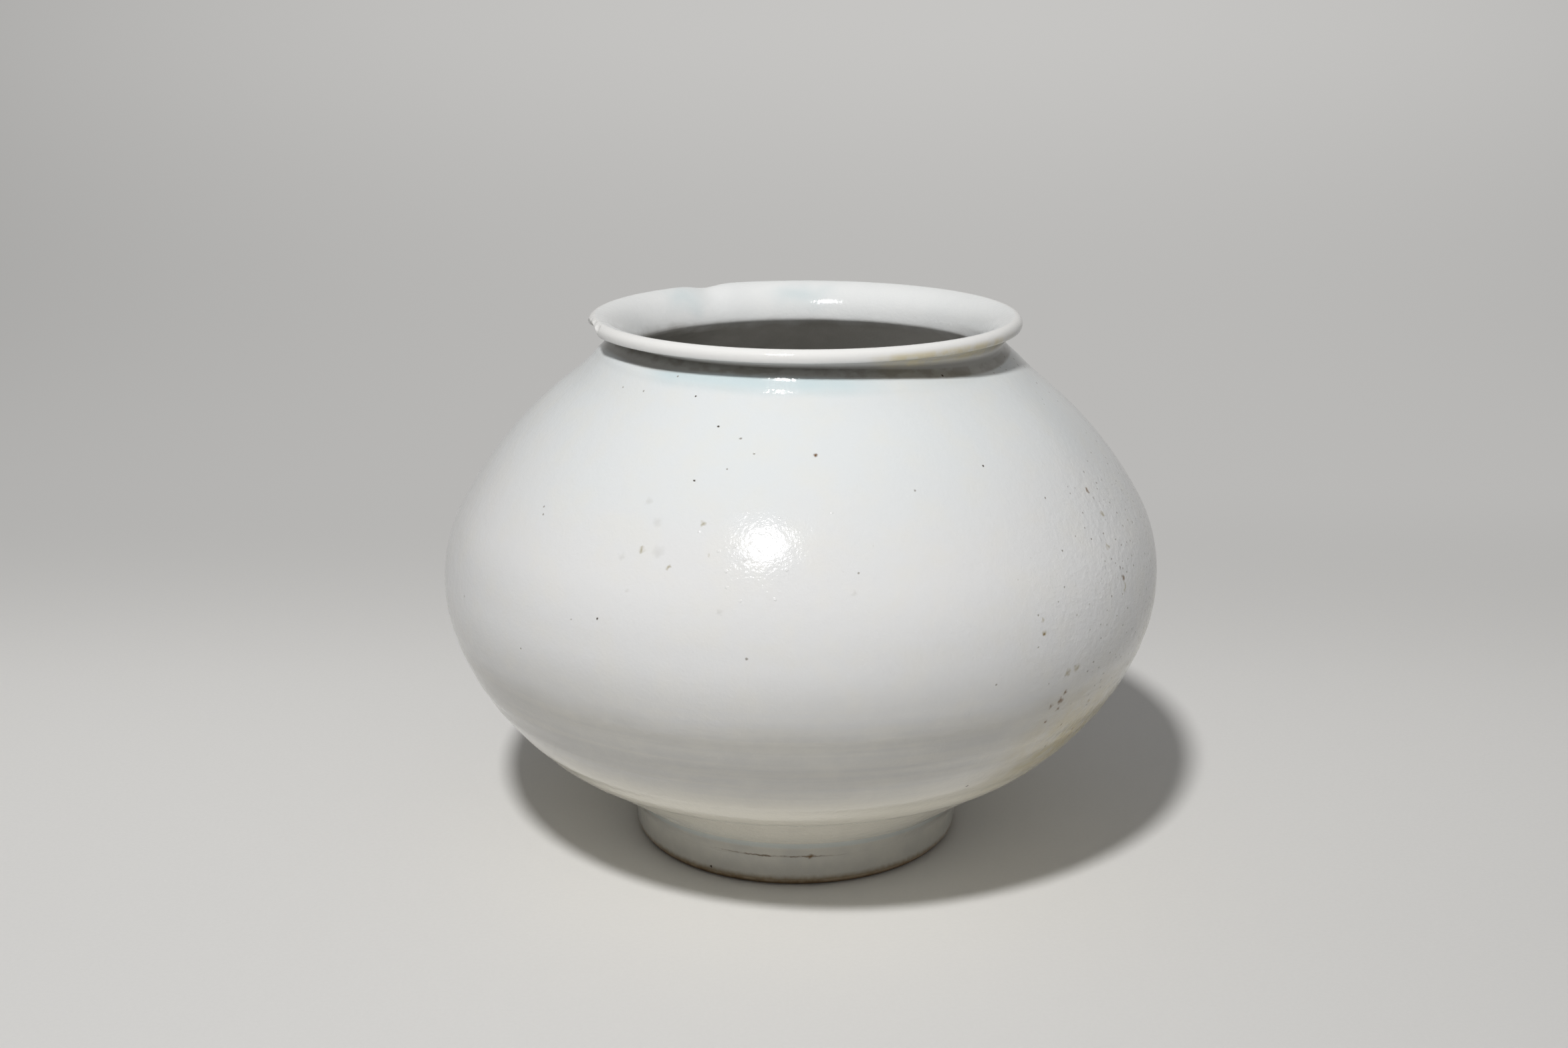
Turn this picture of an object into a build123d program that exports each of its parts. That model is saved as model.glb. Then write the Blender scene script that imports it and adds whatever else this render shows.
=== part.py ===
from build123d import *
import os
from math import atan2, cos, degrees, radians, sin, sqrt, tan
from typing import NamedTuple

# White porcelain moon jar. Two thrown bowls are luted rim to rim with slip, a thrown collar with a
# rolled lip is luted into the mouth, a foot ring is luted under the base, and a glaze coats it all
# but the rim that it stands on. Millimetres and degrees, +Z up, the axis on Z, the floor at Z = 0.

# Driving dimensions. Outside sizes are over the glaze.
belly_diameter = 170.0
belly_height = 67.0             # middle of the joint between the two bowls
upper_belly_radius = 34.5       # curve of the wall just above the joint
upper_belly_sweep = 30.0
upper_bowl_rise = 51.8          # from the joint to the crease under the collar
lower_belly_radius = 33.6       # curve of the wall just below the joint
lower_belly_sweep = 18.0
neck_diameter = 92.6            # in the crease where the shoulder meets the collar
collar_rise = 9.0               # from that crease to the top of the lip
collar_wall = 4.5               # at the throat, the narrowest place inside
throat_drop = 9.0               # the throat's depth below the top of the lip
lip_overhang = 4.3              # beyond the crease
lip_radius = 1.75               # roundness of the lip's top and nose
lip_turn = 10.0                 # how far the nose turns under
lip_drop = 2.9                  # from the top of the lip to the crisp edge under its nose
turned_base_width = 21.3        # straight turned band from the foot out to the ridge above it
turned_base_rise = 15.1
foot_diameter = 80.4            # in the crease where the turned base meets the foot
foot_taper = 0.9                # how far the side of the foot draws in on its way to the floor
foot_stub_height = 1.8          # part of the foot that belongs to the lower bowl
foot_ring_height = 8.0
foot_ring_width = 6.8
foot_outer_round = 1.2
foot_inner_round = 0.8
bare_foot_edge = 1.6            # the glaze is wiped off below this height
wall = 5.6                      # both glazes included
floor_thickness = 6.4
floor_corner_radius = 38.0
glaze = 0.5
slip = 0.6
chip_depth = 1.05               # flake broken off the nose of the lip, with a flat face
chip_azimuth = 191.0
chip_elevation = 8.0


class WallArc(NamedTuple):
    """An arc of the jar's outside. Its angles are those of the outward normal at its two ends."""
    centre: Vector
    radius: float
    start: float
    end: float

    def at(self, angle, depth):
        """Point of the wall where the normal has an angle, at a depth below the outside."""
        return self.centre + (self.radius - depth) * direction(angle)

    def draw(self, depth):
        """The arc at a depth below the outside, about the same centre."""
        middle = (self.start + self.end) / 2
        return ThreePointArc(self.at(self.start, depth), self.at(middle, depth), self.at(self.end, depth))


def direction(angle):
    """Unit vector at an angle in the profile's plane."""
    return Vector(cos(radians(angle)), sin(radians(angle)))


def arc_onward(arc, end):
    """The arc that goes on smoothly from the end of another one to a given point."""
    start = arc.at(arc.end, 0)
    inward = -1 * direction(arc.end)
    chord = end - start
    radius = chord.dot(chord) / (2 * chord.dot(inward))
    centre = start + radius * inward
    normal = (end - centre) / radius
    return WallArc(centre, radius, arc.end, degrees(atan2(normal.Y, normal.X)))


# Heights and radii that follow from the driving dimensions
belly_radius = belly_diameter / 2
upper_rim = belly_height + slip / 2
lower_rim = belly_height - slip / 2
neck_radius = neck_diameter / 2
neck_height = belly_height + upper_bowl_rise
jar_height = neck_height + collar_rise
throat_radius = neck_radius - collar_wall
throat_height = jar_height - throat_drop
bowl_underside = foot_ring_height + slip
bowl_floor = bowl_underside + floor_thickness
foot_height = bowl_underside + foot_stub_height
foot_radius = foot_diameter / 2
foot_bore_radius = foot_radius - foot_taper - foot_ring_width
base_slope = turned_base_rise / turned_base_width
inner_clay = wall - glaze

# The wall's outside: two arcs above the joint and two below it, each pair smooth where it meets
upper_centre = Vector(belly_radius - upper_belly_radius, upper_rim)
lower_centre = Vector(belly_radius - lower_belly_radius, lower_rim)
upper_belly = WallArc(upper_centre, upper_belly_radius, 0, upper_belly_sweep)
lower_belly = WallArc(lower_centre, lower_belly_radius, 0, -lower_belly_sweep)
shoulder = arc_onward(upper_belly, Vector(neck_radius, neck_height))
haunch = arc_onward(lower_belly, Vector(foot_radius + turned_base_width, foot_height + turned_base_rise))

# The collar starts one thickness of slip beyond the end of the shoulder
along_neck = slip * direction(shoulder.end + 90)

# The lip is round, and the flare inside it is an arc that is upright at the throat and touches the lip
lip_centre = Vector(neck_radius + lip_overhang - lip_radius, jar_height - lip_radius)
lip_reach = lip_centre.X - throat_radius
lip_rise = lip_centre.Y - throat_height
flare_radius = (lip_reach**2 + lip_rise**2 - lip_radius**2) / (2 * (lip_reach - lip_radius))
flare_centre = Vector(throat_radius + flare_radius, throat_height)
flare_angle = degrees(atan2(lip_rise, lip_centre.X - flare_centre.X))


def collar_start(depth):
    """Where the collar begins, at a depth below the outside of the shoulder."""
    return shoulder.at(shoulder.end, depth) + along_neck


def foot_crease(coat):
    """Crease between the turned base and the foot, with a coat taken off both."""
    height = foot_height + coat * (sqrt(1 + base_slope**2) - base_slope)
    return foot_side(height, coat)


def foot_side(height, coat):
    """Point on the side of the foot at a height, with a coat taken off it."""
    return Vector(foot_radius - coat - foot_taper * (1 - height / foot_height), height)


def draw_lip_outside(coat):
    """Outer half of the lip, the edge under it and the cove down to the start of the collar."""
    nose = CenterArc(lip_centre, lip_radius - coat, 90, -90 - lip_turn)
    fall = (nose @ 1).Y - (jar_height - lip_drop + coat)
    edge = Line(nose @ 1, nose @ 1 - fall * Vector(tan(radians(lip_turn)), 1))
    return TangentArc(edge @ 1, collar_start(coat), tangent=(-1, 0))


def draw_lip_inside(coat):
    """Inner half of the lip, the flare to the throat, and the turn under it to the collar's end."""
    CenterArc(lip_centre, lip_radius - coat, 90, flare_angle - 90)
    flare = CenterArc(flare_centre, flare_radius - coat, flare_angle, 180 - flare_angle)
    return TangentArc(flare @ 1, collar_start(wall - coat), tangent=(0, -1))


def draw_base_outside(coat, lowest):
    """Turned base from the ridge to the foot, and the side of the foot down to a height."""
    return Polyline(haunch.at(haunch.end, coat), foot_crease(coat), foot_side(lowest, coat))


def draw_base_inside(coat):
    """Inside of the turned base, parallel to its outside, and the floor to the axis."""
    ridge = haunch.at(haunch.end, wall - coat)
    floor = bowl_floor + glaze - coat
    corner = Vector(ridge.X - (ridge.Y - floor) / base_slope, floor)
    return FilletPolyline(ridge, corner, (0, floor), radius=floor_corner_radius - glaze + coat)


def break_chip():
    """Flake missing from the nose of the lip: a block outside the flat face takes it away."""
    around = direction(chip_azimuth)
    tilt = direction(chip_elevation)
    facing = Vector(tilt.X * around.X, tilt.X * around.Y, tilt.Y)
    middle = Vector(lip_centre.X * around.X, lip_centre.X * around.Y, lip_centre.Y)
    face = Plane(middle + (lip_radius - chip_depth) * facing, x_dir=(-around.Y, around.X, 0), z_dir=facing)
    length = 2 * sqrt(2 * (lip_centre.X + lip_radius) * lip_drop)
    with Locations(face):
        Box(length, 2 * lip_drop, lip_drop, align=(Align.CENTER, Align.CENTER, Align.MIN), mode=Mode.SUBTRACT)


# Lower bowl, with its turned base and the short stub that the foot ring is luted to
with BuildPart() as lower_bowl:
    with BuildSketch(Plane.XZ):
        with BuildLine():
            lower_belly.draw(glaze)
            haunch.draw(glaze)
            side = draw_base_outside(glaze, bowl_underside)
            Polyline(side @ 1, (0, bowl_underside), (0, bowl_floor))
            draw_base_inside(glaze)
            haunch.draw(inner_clay)
            lower_belly.draw(inner_clay)
            Line(lower_belly.at(0, inner_clay), lower_belly.at(0, glaze))
        make_face()
    revolve(axis=Axis.Z)
lower_bowl.part.label = "lower_bowl"

# Upper bowl, from the joint at the belly to the bevel that carries the collar
with BuildPart() as upper_bowl:
    with BuildSketch(Plane.XZ):
        with BuildLine():
            upper_belly.draw(glaze)
            shoulder.draw(glaze)
            Line(shoulder.at(shoulder.end, glaze), shoulder.at(shoulder.end, inner_clay))
            shoulder.draw(inner_clay)
            upper_belly.draw(inner_clay)
            Line(upper_belly.at(0, inner_clay), upper_belly.at(0, glaze))
        make_face()
    revolve(axis=Axis.Z)
upper_bowl.part.label = "upper_bowl"

# Slip between the rims of the two bowls
with BuildPart() as belly_seam_slip:
    with BuildSketch(Plane.XZ):
        with BuildLine():
            Polyline(
                upper_belly.at(0, glaze),
                upper_belly.at(0, inner_clay),
                lower_belly.at(0, inner_clay),
                lower_belly.at(0, glaze),
                close=True,
            )
        make_face()
    revolve(axis=Axis.Z)
belly_seam_slip.part.label = "belly_seam_slip"

# Collar with its cove, rolled lip and flared inside, and the flake missing from the lip
with BuildPart() as mouth_rim:
    with BuildSketch(Plane.XZ):
        with BuildLine():
            draw_lip_outside(glaze)
            Line(collar_start(glaze), collar_start(inner_clay))
            draw_lip_inside(glaze)
        make_face()
    revolve(axis=Axis.Z)
    break_chip()
mouth_rim.part.label = "mouth_rim"

# Slip between the bevel of the upper bowl and the collar
with BuildPart() as neck_seam_slip:
    with BuildSketch(Plane.XZ):
        with BuildLine():
            Polyline(
                shoulder.at(shoulder.end, glaze),
                shoulder.at(shoulder.end, inner_clay),
                collar_start(inner_clay),
                collar_start(glaze),
                close=True,
            )
        make_face()
    revolve(axis=Axis.Z)
neck_seam_slip.part.label = "neck_seam_slip"

# Foot ring, bare on the rounded rim that it stands on
with BuildPart() as foot_ring:
    with BuildSketch(Plane.XZ) as foot_section:
        with BuildLine():
            Polyline(
                (foot_bore_radius, 0),
                (foot_bore_radius, foot_ring_height),
                foot_side(foot_ring_height, glaze),
                foot_side(0, glaze),
                close=True,
            )
        make_face()
        inner_corner, outer_corner = foot_section.vertices().group_by(Axis.Y)[0].sort_by(Axis.X)
        fillet(inner_corner, foot_inner_round)
        fillet(outer_corner, foot_outer_round)
    revolve(axis=Axis.Z)
foot_ring.part.label = "foot_ring"

# Slip between the bowl's stub and the foot ring
with BuildPart() as foot_seam_slip:
    with BuildSketch(Plane.XZ):
        with BuildLine():
            Polyline(
                (foot_bore_radius, foot_ring_height),
                (foot_bore_radius, bowl_underside),
                foot_side(bowl_underside, glaze),
                foot_side(foot_ring_height, glaze),
                close=True,
            )
        make_face()
    revolve(axis=Axis.Z)
foot_seam_slip.part.label = "foot_seam_slip"

# Glaze over the outside, from the top of the lip to the bare edge of the foot
with BuildPart() as outer_glaze:
    with BuildSketch(Plane.XZ):
        with BuildLine():
            for coat in (0, glaze):
                draw_lip_outside(coat)
                Line(collar_start(coat), shoulder.at(shoulder.end, coat))
                shoulder.draw(coat)
                upper_belly.draw(coat)
                Line(upper_belly.at(0, coat), lower_belly.at(0, coat))
                lower_belly.draw(coat)
                haunch.draw(coat)
                draw_base_outside(coat, bare_foot_edge)
            Line((lip_centre.X, jar_height), (lip_centre.X, jar_height - glaze))
            Line(foot_side(bare_foot_edge, 0), foot_side(bare_foot_edge, glaze))
        make_face()
    revolve(axis=Axis.Z)
    break_chip()
outer_glaze.part.label = "outer_glaze"

# Glaze poured over the inside, from the top of the lip to the middle of the floor
with BuildPart() as inner_glaze:
    with BuildSketch(Plane.XZ):
        with BuildLine():
            for coat in (0, glaze):
                draw_lip_inside(coat)
                Line(collar_start(wall - coat), shoulder.at(shoulder.end, wall - coat))
                shoulder.draw(wall - coat)
                upper_belly.draw(wall - coat)
                Line(upper_belly.at(0, wall - coat), lower_belly.at(0, wall - coat))
                lower_belly.draw(wall - coat)
                haunch.draw(wall - coat)
                draw_base_inside(coat)
            Line((lip_centre.X, jar_height), (lip_centre.X, jar_height - glaze))
            Line((0, bowl_floor), (0, bowl_floor + glaze))
        make_face()
    revolve(axis=Axis.Z)
inner_glaze.part.label = "inner_glaze"

# Glaze in the hollow of the foot
with BuildPart() as foot_well_glaze:
    with BuildSketch(Plane.XZ):
        with BuildLine():
            Polyline(
                (0, bowl_underside),
                (foot_bore_radius, bowl_underside),
                (foot_bore_radius, bare_foot_edge),
                (foot_bore_radius - glaze, bare_foot_edge),
                (foot_bore_radius - glaze, bowl_underside - glaze),
                (0, bowl_underside - glaze),
                close=True,
            )
        make_face()
    revolve(axis=Axis.Z)
foot_well_glaze.part.label = "foot_well_glaze"

os.makedirs("parts", exist_ok=True)
pieces = [
    lower_bowl,
    upper_bowl,
    belly_seam_slip,
    mouth_rim,
    neck_seam_slip,
    foot_ring,
    foot_seam_slip,
    outer_glaze,
    inner_glaze,
    foot_well_glaze,
]
for piece in pieces:
    export_step(piece.part, f"parts/{piece.part.label}.step")
    print(f"{piece.part.label}: {piece.part.volume / 1000:.1f} cm3")
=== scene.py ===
"""White porcelain moon jar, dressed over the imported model.

All ten pieces of the jar are turned again as finer meshes that share one warp: the lean of the jar, the
uneven crease under its collar and the dip in its lip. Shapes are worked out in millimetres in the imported
model's own frame, and go into Blender in metres.
"""

import logging
from collections.abc import Iterable
from dataclasses import dataclass
from enum import Enum
from functools import reduce
from math import atan2, cos, degrees, pi, radians, sin, sqrt, tan

import bpy
import numpy as np
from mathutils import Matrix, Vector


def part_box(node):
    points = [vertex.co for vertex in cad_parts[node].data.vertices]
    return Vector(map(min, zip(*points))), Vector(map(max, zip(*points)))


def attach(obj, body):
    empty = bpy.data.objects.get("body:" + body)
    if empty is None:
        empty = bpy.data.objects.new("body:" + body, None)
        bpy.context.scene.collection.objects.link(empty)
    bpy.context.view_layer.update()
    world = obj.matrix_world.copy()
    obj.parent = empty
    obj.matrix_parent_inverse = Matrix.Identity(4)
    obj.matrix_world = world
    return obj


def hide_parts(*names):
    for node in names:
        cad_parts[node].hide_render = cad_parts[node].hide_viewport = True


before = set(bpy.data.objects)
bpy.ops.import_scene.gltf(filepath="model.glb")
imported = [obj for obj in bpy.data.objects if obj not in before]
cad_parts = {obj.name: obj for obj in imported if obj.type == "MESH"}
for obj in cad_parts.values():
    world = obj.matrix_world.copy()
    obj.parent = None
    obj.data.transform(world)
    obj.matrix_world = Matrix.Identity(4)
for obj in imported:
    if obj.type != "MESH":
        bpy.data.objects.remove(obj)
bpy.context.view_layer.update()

MM = 0.001
TRUE_HEIGHT = "true_height"
LOG = logging.getLogger("moon_jar")

Points = np.ndarray
Socket = bpy.types.NodeSocket
Pair = tuple[float, float]
Triple = tuple[float, float, float]
Quad = tuple[float, float, float, float]
Value = Socket | float | tuple
Piece = bpy.types.Object


def ease(value: Points, low: float, high: float) -> Points:
    """Rise smoothly from 0 at low to 1 at high, as 3t^2 - 2t^3.

    Args:
        value: Numbers to grade.
        low: Where the rise begins; it may lie above high for a fall.
        high: Where the rise ends.

    Returns:
        The grades, from 0 to 1.
    """
    t = np.clip((value - low) / (high - low), 0.0, 1.0)
    return t * t * (3.0 - 2.0 * t)


def hump(value: Points, centre: Points | float, width: float) -> Points:
    """Bell curve exp(-((value - centre) / width)^2)."""
    return np.exp(-(((value - centre) / width) ** 2))


def turned_from(azimuth: Points, centre: float) -> Points:
    """Angle in degrees, from -180 to 180, from a centre in degrees to each azimuth in radians."""
    return (np.degrees(azimuth) - centre + 180.0) % 360.0 - 180.0


def plateau(azimuth: Points, centre: float, width: float) -> Points:
    """Flat-topped bell over azimuth, exp(-(angle / width)^4), with centre and width in degrees."""
    return np.exp(-((turned_from(azimuth, centre) / width) ** 4))


def ripple(azimuth: Points, waves: tuple[Triple, ...]) -> Points:
    """Sum of amount * sin(folds * azimuth + phase) over waves of an amount, folds and a phase."""
    return sum(amount * np.sin(folds * azimuth + phase) for amount, folds, phase in waves)


def backwards(runs: list[Points]) -> list[Points]:
    """Runs of points in the opposite order, each from its end to its start."""
    return [run[::-1] for run in reversed(runs)]


@dataclass(frozen=True)
class Arc:
    """An arc of a profile. Its angles, in degrees, are those of the outward normal at its ends."""

    centre: Pair
    radius: float
    start: float
    end: float

    def at(self, angle: float, depth: float = 0.0) -> Pair:
        """Point where the normal has an angle, at a depth below the arc."""
        reach = self.radius - depth
        return (self.centre[0] + reach * cos(radians(angle)), self.centre[1] + reach * sin(radians(angle)))

    def onward(self, end: Pair) -> "Arc":
        """Arc that leaves this one's end smoothly and reaches a point.

        The centre lies on the end's normal, at the distance chord^2 / (2 chord . inward).

        Args:
            end: Radius and height of the point.

        Returns:
            The next arc.
        """
        start = self.at(self.end)
        inward = (-cos(radians(self.end)), -sin(radians(self.end)))
        chord = (end[0] - start[0], end[1] - start[1])
        radius = (chord[0] ** 2 + chord[1] ** 2) / (2 * (chord[0] * inward[0] + chord[1] * inward[1]))
        centre = (start[0] + radius * inward[0], start[1] + radius * inward[1])
        angle = degrees(atan2(end[1] - centre[1], end[0] - centre[0]))
        return Arc(centre, radius, self.end, angle)

    def count(self, depth: float, step: float) -> int:
        """Number of points along the arc at a depth, no more than a step apart."""
        return max(2, int(abs(radians(self.end - self.start) * (self.radius - depth)) / step) + 1)

    def spread(self, count: int, depth: Points | float) -> Points:
        """Evenly spaced points along the arc, at a depth below it.

        Args:
            count: Number of points.
            depth: Distance towards the centre, the same all along or one for each point.

        Returns:
            Radius and height of each point.
        """
        reach = self.radius - depth
        angle = np.radians(np.linspace(self.start, self.end, count))
        return np.array(self.centre) + np.column_stack([reach * np.cos(angle), reach * np.sin(angle)])

    def points(self, depth: float, step: float) -> Points:
        """Points along the arc at a depth below it, no more than a step apart."""
        return self.spread(self.count(depth, step), depth)


def straight(start: Pair, end: Pair, step: float) -> Points:
    """Points along a straight run of a profile, no more than a step apart."""
    count = max(2, int(np.hypot(end[0] - start[0], end[1] - start[1]) / step) + 1)
    return np.linspace(start, end, count)


def tangent_arc(start: Pair, heading: Pair, end: Pair) -> Arc:
    """Arc that leaves a point along a heading and reaches another point.

    Its centre lies across the heading, at the signed distance chord^2 / (2 chord . across).

    Args:
        start: Radius and height of the first point.
        heading: Unit direction at the first point.
        end: Radius and height of the last point.

    Returns:
        The arc, turned the short way.
    """
    across = (-heading[1], heading[0])
    chord = (end[0] - start[0], end[1] - start[1])
    reach = (chord[0] ** 2 + chord[1] ** 2) / (2 * (chord[0] * across[0] + chord[1] * across[1]))
    centre = (start[0] + reach * across[0], start[1] + reach * across[1])
    first = degrees(atan2(start[1] - centre[1], start[0] - centre[0]))
    last = degrees(atan2(end[1] - centre[1], end[0] - centre[0]))
    sweep = (last - first + 180.0) % 360.0 - 180.0
    return Arc(centre, abs(reach), first, first + sweep)


@dataclass(frozen=True)
class Form:
    """Sizes of the jar in millimetres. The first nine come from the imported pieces."""

    belly_radius: float
    jar_height: float
    upper_rim: float
    lower_rim: float
    bowl_underside: float
    bowl_floor: float
    foot_ring_height: float
    bore_radius: float
    bare_edge: float
    upper_belly_radius: float = 34.5
    upper_belly_sweep: float = 30.0
    lower_belly_radius: float = 33.6
    lower_belly_sweep: float = 18.0
    neck_radius: float = 46.3
    neck_height: float = 118.8
    collar_wall: float = 4.5
    throat_drop: float = 9.0
    lip_overhang: float = 4.3
    lip_radius: float = 1.75
    lip_turn: float = 10.0
    lip_drop: float = 2.9
    ridge_radius: float = 61.5
    ridge_height: float = 25.5
    foot_radius: float = 40.2
    foot_height: float = 10.4
    foot_taper: float = 0.9
    foot_round: float = 1.2
    bore_round: float = 0.8
    wall: float = 5.6
    neck_thinning: float = 2.6
    floor_corner: float = 38.0
    glaze: float = 0.5
    slip: float = 0.6

    @classmethod
    def from_frame(cls) -> "Form":
        """The jar's form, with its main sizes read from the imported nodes.

        Returns:
            The form.
        """
        outer_low, outer_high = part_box("outer_glaze")
        bowl_low, bowl_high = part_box("lower_bowl")
        return cls(
            belly_radius=outer_high.x / MM,
            jar_height=outer_high.z / MM,
            upper_rim=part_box("upper_bowl")[0].z / MM,
            lower_rim=bowl_high.z / MM,
            bowl_underside=bowl_low.z / MM,
            bowl_floor=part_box("inner_glaze")[0].z / MM,
            foot_ring_height=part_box("foot_ring")[1].z / MM,
            bore_radius=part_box("foot_well_glaze")[1].x / MM,
            bare_edge=outer_low.z / MM,
        )

    @property
    def clay_inside(self) -> float:
        """Depth of the clay's inside below the outside of the glaze."""
        return self.wall - self.glaze

    @property
    def upper_belly(self) -> Arc:
        """Wall just above the joint of the two bowls."""
        centre = (self.belly_radius - self.upper_belly_radius, self.upper_rim)
        return Arc(centre, self.upper_belly_radius, 0.0, self.upper_belly_sweep)

    @property
    def lower_belly(self) -> Arc:
        """Wall just below the joint of the two bowls."""
        centre = (self.belly_radius - self.lower_belly_radius, self.lower_rim)
        return Arc(centre, self.lower_belly_radius, 0.0, -self.lower_belly_sweep)

    @property
    def shoulder(self) -> Arc:
        """Wall from the upper belly to the crease under the collar."""
        return self.upper_belly.onward((self.neck_radius, self.neck_height))

    @property
    def haunch(self) -> Arc:
        """Wall from the lower belly to the ridge of the turned base."""
        return self.lower_belly.onward((self.ridge_radius, self.ridge_height))

    @property
    def lip_centre(self) -> Pair:
        """Middle of the rolled lip."""
        return (self.neck_radius + self.lip_overhang - self.lip_radius, self.jar_height - self.lip_radius)

    @property
    def flare(self) -> Arc:
        """Inside of the collar: upright at the throat, and touching the lip at its top.

        Returns:
            The arc, from the lip down to the throat.
        """
        throat = (self.neck_radius - self.collar_wall, self.jar_height - self.throat_drop)
        reach = self.lip_centre[0] - throat[0]
        rise = self.lip_centre[1] - throat[1]
        radius = (reach**2 + rise**2 - self.lip_radius**2) / (2 * (reach - self.lip_radius))
        centre = (throat[0] + radius, throat[1])
        top = degrees(atan2(rise, self.lip_centre[0] - centre[0]))
        return Arc(centre, radius, top, 180.0)

    @property
    def base_slope(self) -> float:
        """Rise of the turned base for each millimetre outwards."""
        return (self.ridge_height - self.foot_height) / (self.ridge_radius - self.foot_radius)

    def thinned(self, depth: float, share: Points | float) -> Points | float:
        """Depth below the shoulder's outside, where the wall is drawn thin towards the neck.

        The loss grows with the square of the share.

        Args:
            depth: Depth at the belly.
            share: Share of the way from the belly up to the neck.

        Returns:
            The depth, less the loss.
        """
        loss = self.neck_thinning * (depth - self.glaze) / self.clay_inside
        return depth - max(loss, 0.0) * share**2

    def neck_edge(self, depth: float) -> Pair:
        """End of the shoulder at the neck, at a depth below the outside."""
        return self.shoulder.at(self.shoulder.end, self.thinned(depth, 1.0))

    def shoulder_run(self, depth: float, step: float) -> Points:
        """Shoulder from the belly up to the neck, at a depth below the outside."""
        count = self.shoulder.count(0.0, step)
        return self.shoulder.spread(count, self.thinned(depth, np.linspace(0.0, 1.0, count)))

    def collar_start(self, depth: float) -> Pair:
        """Where the collar begins, one thickness of slip beyond the end of the shoulder.

        Args:
            depth: Depth below the outside.

        Returns:
            Radius and height.
        """
        radius, height = self.neck_edge(depth)
        along = radians(self.shoulder.end + 90.0)
        return (radius + self.slip * cos(along), height + self.slip * sin(along))

    def foot_side(self, height: float, coat: float) -> Pair:
        """Point on the side of the foot at a height, with a coat taken off it."""
        return (self.foot_radius - coat - self.foot_taper * (1.0 - height / self.foot_height), height)

    def foot_crease(self, coat: float) -> Pair:
        """Crease between the turned base and the foot, with a coat taken off both."""
        height = self.foot_height + coat * (sqrt(1.0 + self.base_slope**2) - self.base_slope)
        return self.foot_side(height, coat)

    def wall_runs(self, depth: float, step: float) -> list[Points]:
        """Wall from the crease under the collar down to the ridge of the turned base.

        Args:
            depth: Distance below the outside.
            step: Greatest distance between points.

        Returns:
            The runs of points, in order.
        """
        return [
            self.shoulder_run(depth, step)[::-1],
            self.upper_belly.points(depth, step)[::-1],
            straight(self.upper_belly.at(0.0, depth), self.lower_belly.at(0.0, depth), step),
            self.lower_belly.points(depth, step),
            self.haunch.points(depth, step),
        ]

    def lip_outside(self, coat: float, step: float) -> list[Points]:
        """From the top of the lip round its nose, to the edge under it and down the cove.

        Args:
            coat: Thickness taken off the outside.
            step: Greatest distance between points.

        Returns:
            The nose, the edge and the cove.
        """
        lip = Arc(self.lip_centre, self.lip_radius - coat, 90.0, -self.lip_turn)
        nose = lip.at(-self.lip_turn)
        fall = nose[1] - (self.jar_height - self.lip_drop + coat)
        edge = (nose[0] - fall * tan(radians(self.lip_turn)), nose[1] - fall)
        cove = tangent_arc(edge, (-1.0, 0.0), self.collar_start(coat))
        return [lip.points(0.0, step), straight(nose, edge, step), cove.points(0.0, step)]

    def lip_inside(self, coat: float, step: float) -> list[Points]:
        """From the top of the lip down its flare, and from the throat back to the collar's start.

        Args:
            coat: Thickness taken off the inside.
            step: Greatest distance between points.

        Returns:
            The lip, the flare and the run below the throat.
        """
        flare = self.flare
        lip = Arc(self.lip_centre, self.lip_radius - coat, 90.0, flare.start)
        below = straight(flare.at(180.0, coat), self.collar_start(self.wall - coat), step)
        return [lip.points(0.0, step), flare.points(coat, step), below]

    def base_inside(self, coat: float, step: float) -> list[Points]:
        """Inside of the turned base, a round corner, and the floor to the axis.

        Args:
            coat: Thickness taken off the inside.
            step: Greatest distance between points.

        Returns:
            The slope, the corner and the floor.
        """
        ridge = self.haunch.at(self.haunch.end, self.wall - coat)
        floor = self.bowl_floor + self.glaze - coat
        corner = ridge[0] - (ridge[1] - floor) / self.base_slope
        lean = atan2(self.base_slope, 1.0)
        radius = self.floor_corner - self.glaze + coat
        setback = radius * tan(lean / 2.0)
        top = (corner + setback * cos(lean), floor + setback * sin(lean))
        bend = Arc((corner - setback, floor + radius), radius, degrees(lean) - 90.0, -90.0)
        flat = straight((corner - setback, floor), (0.0, floor), step)
        return [straight(ridge, top, step), bend.points(0.0, step), flat]


@dataclass(frozen=True)
class Stretch:
    """A part of the glaze's skin: its points, and how far apart the rings along it are."""

    points: Points
    spacing: float


@dataclass(frozen=True)
class Scoop:
    """A hollow that a flake left in the lip: part of a ball.

    The ball lies along a direction from the middle of the lip, and depth is measured along that direction
    from the unbroken surface.
    """

    azimuth: float
    elevation: float
    depth: float
    radius: float


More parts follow.
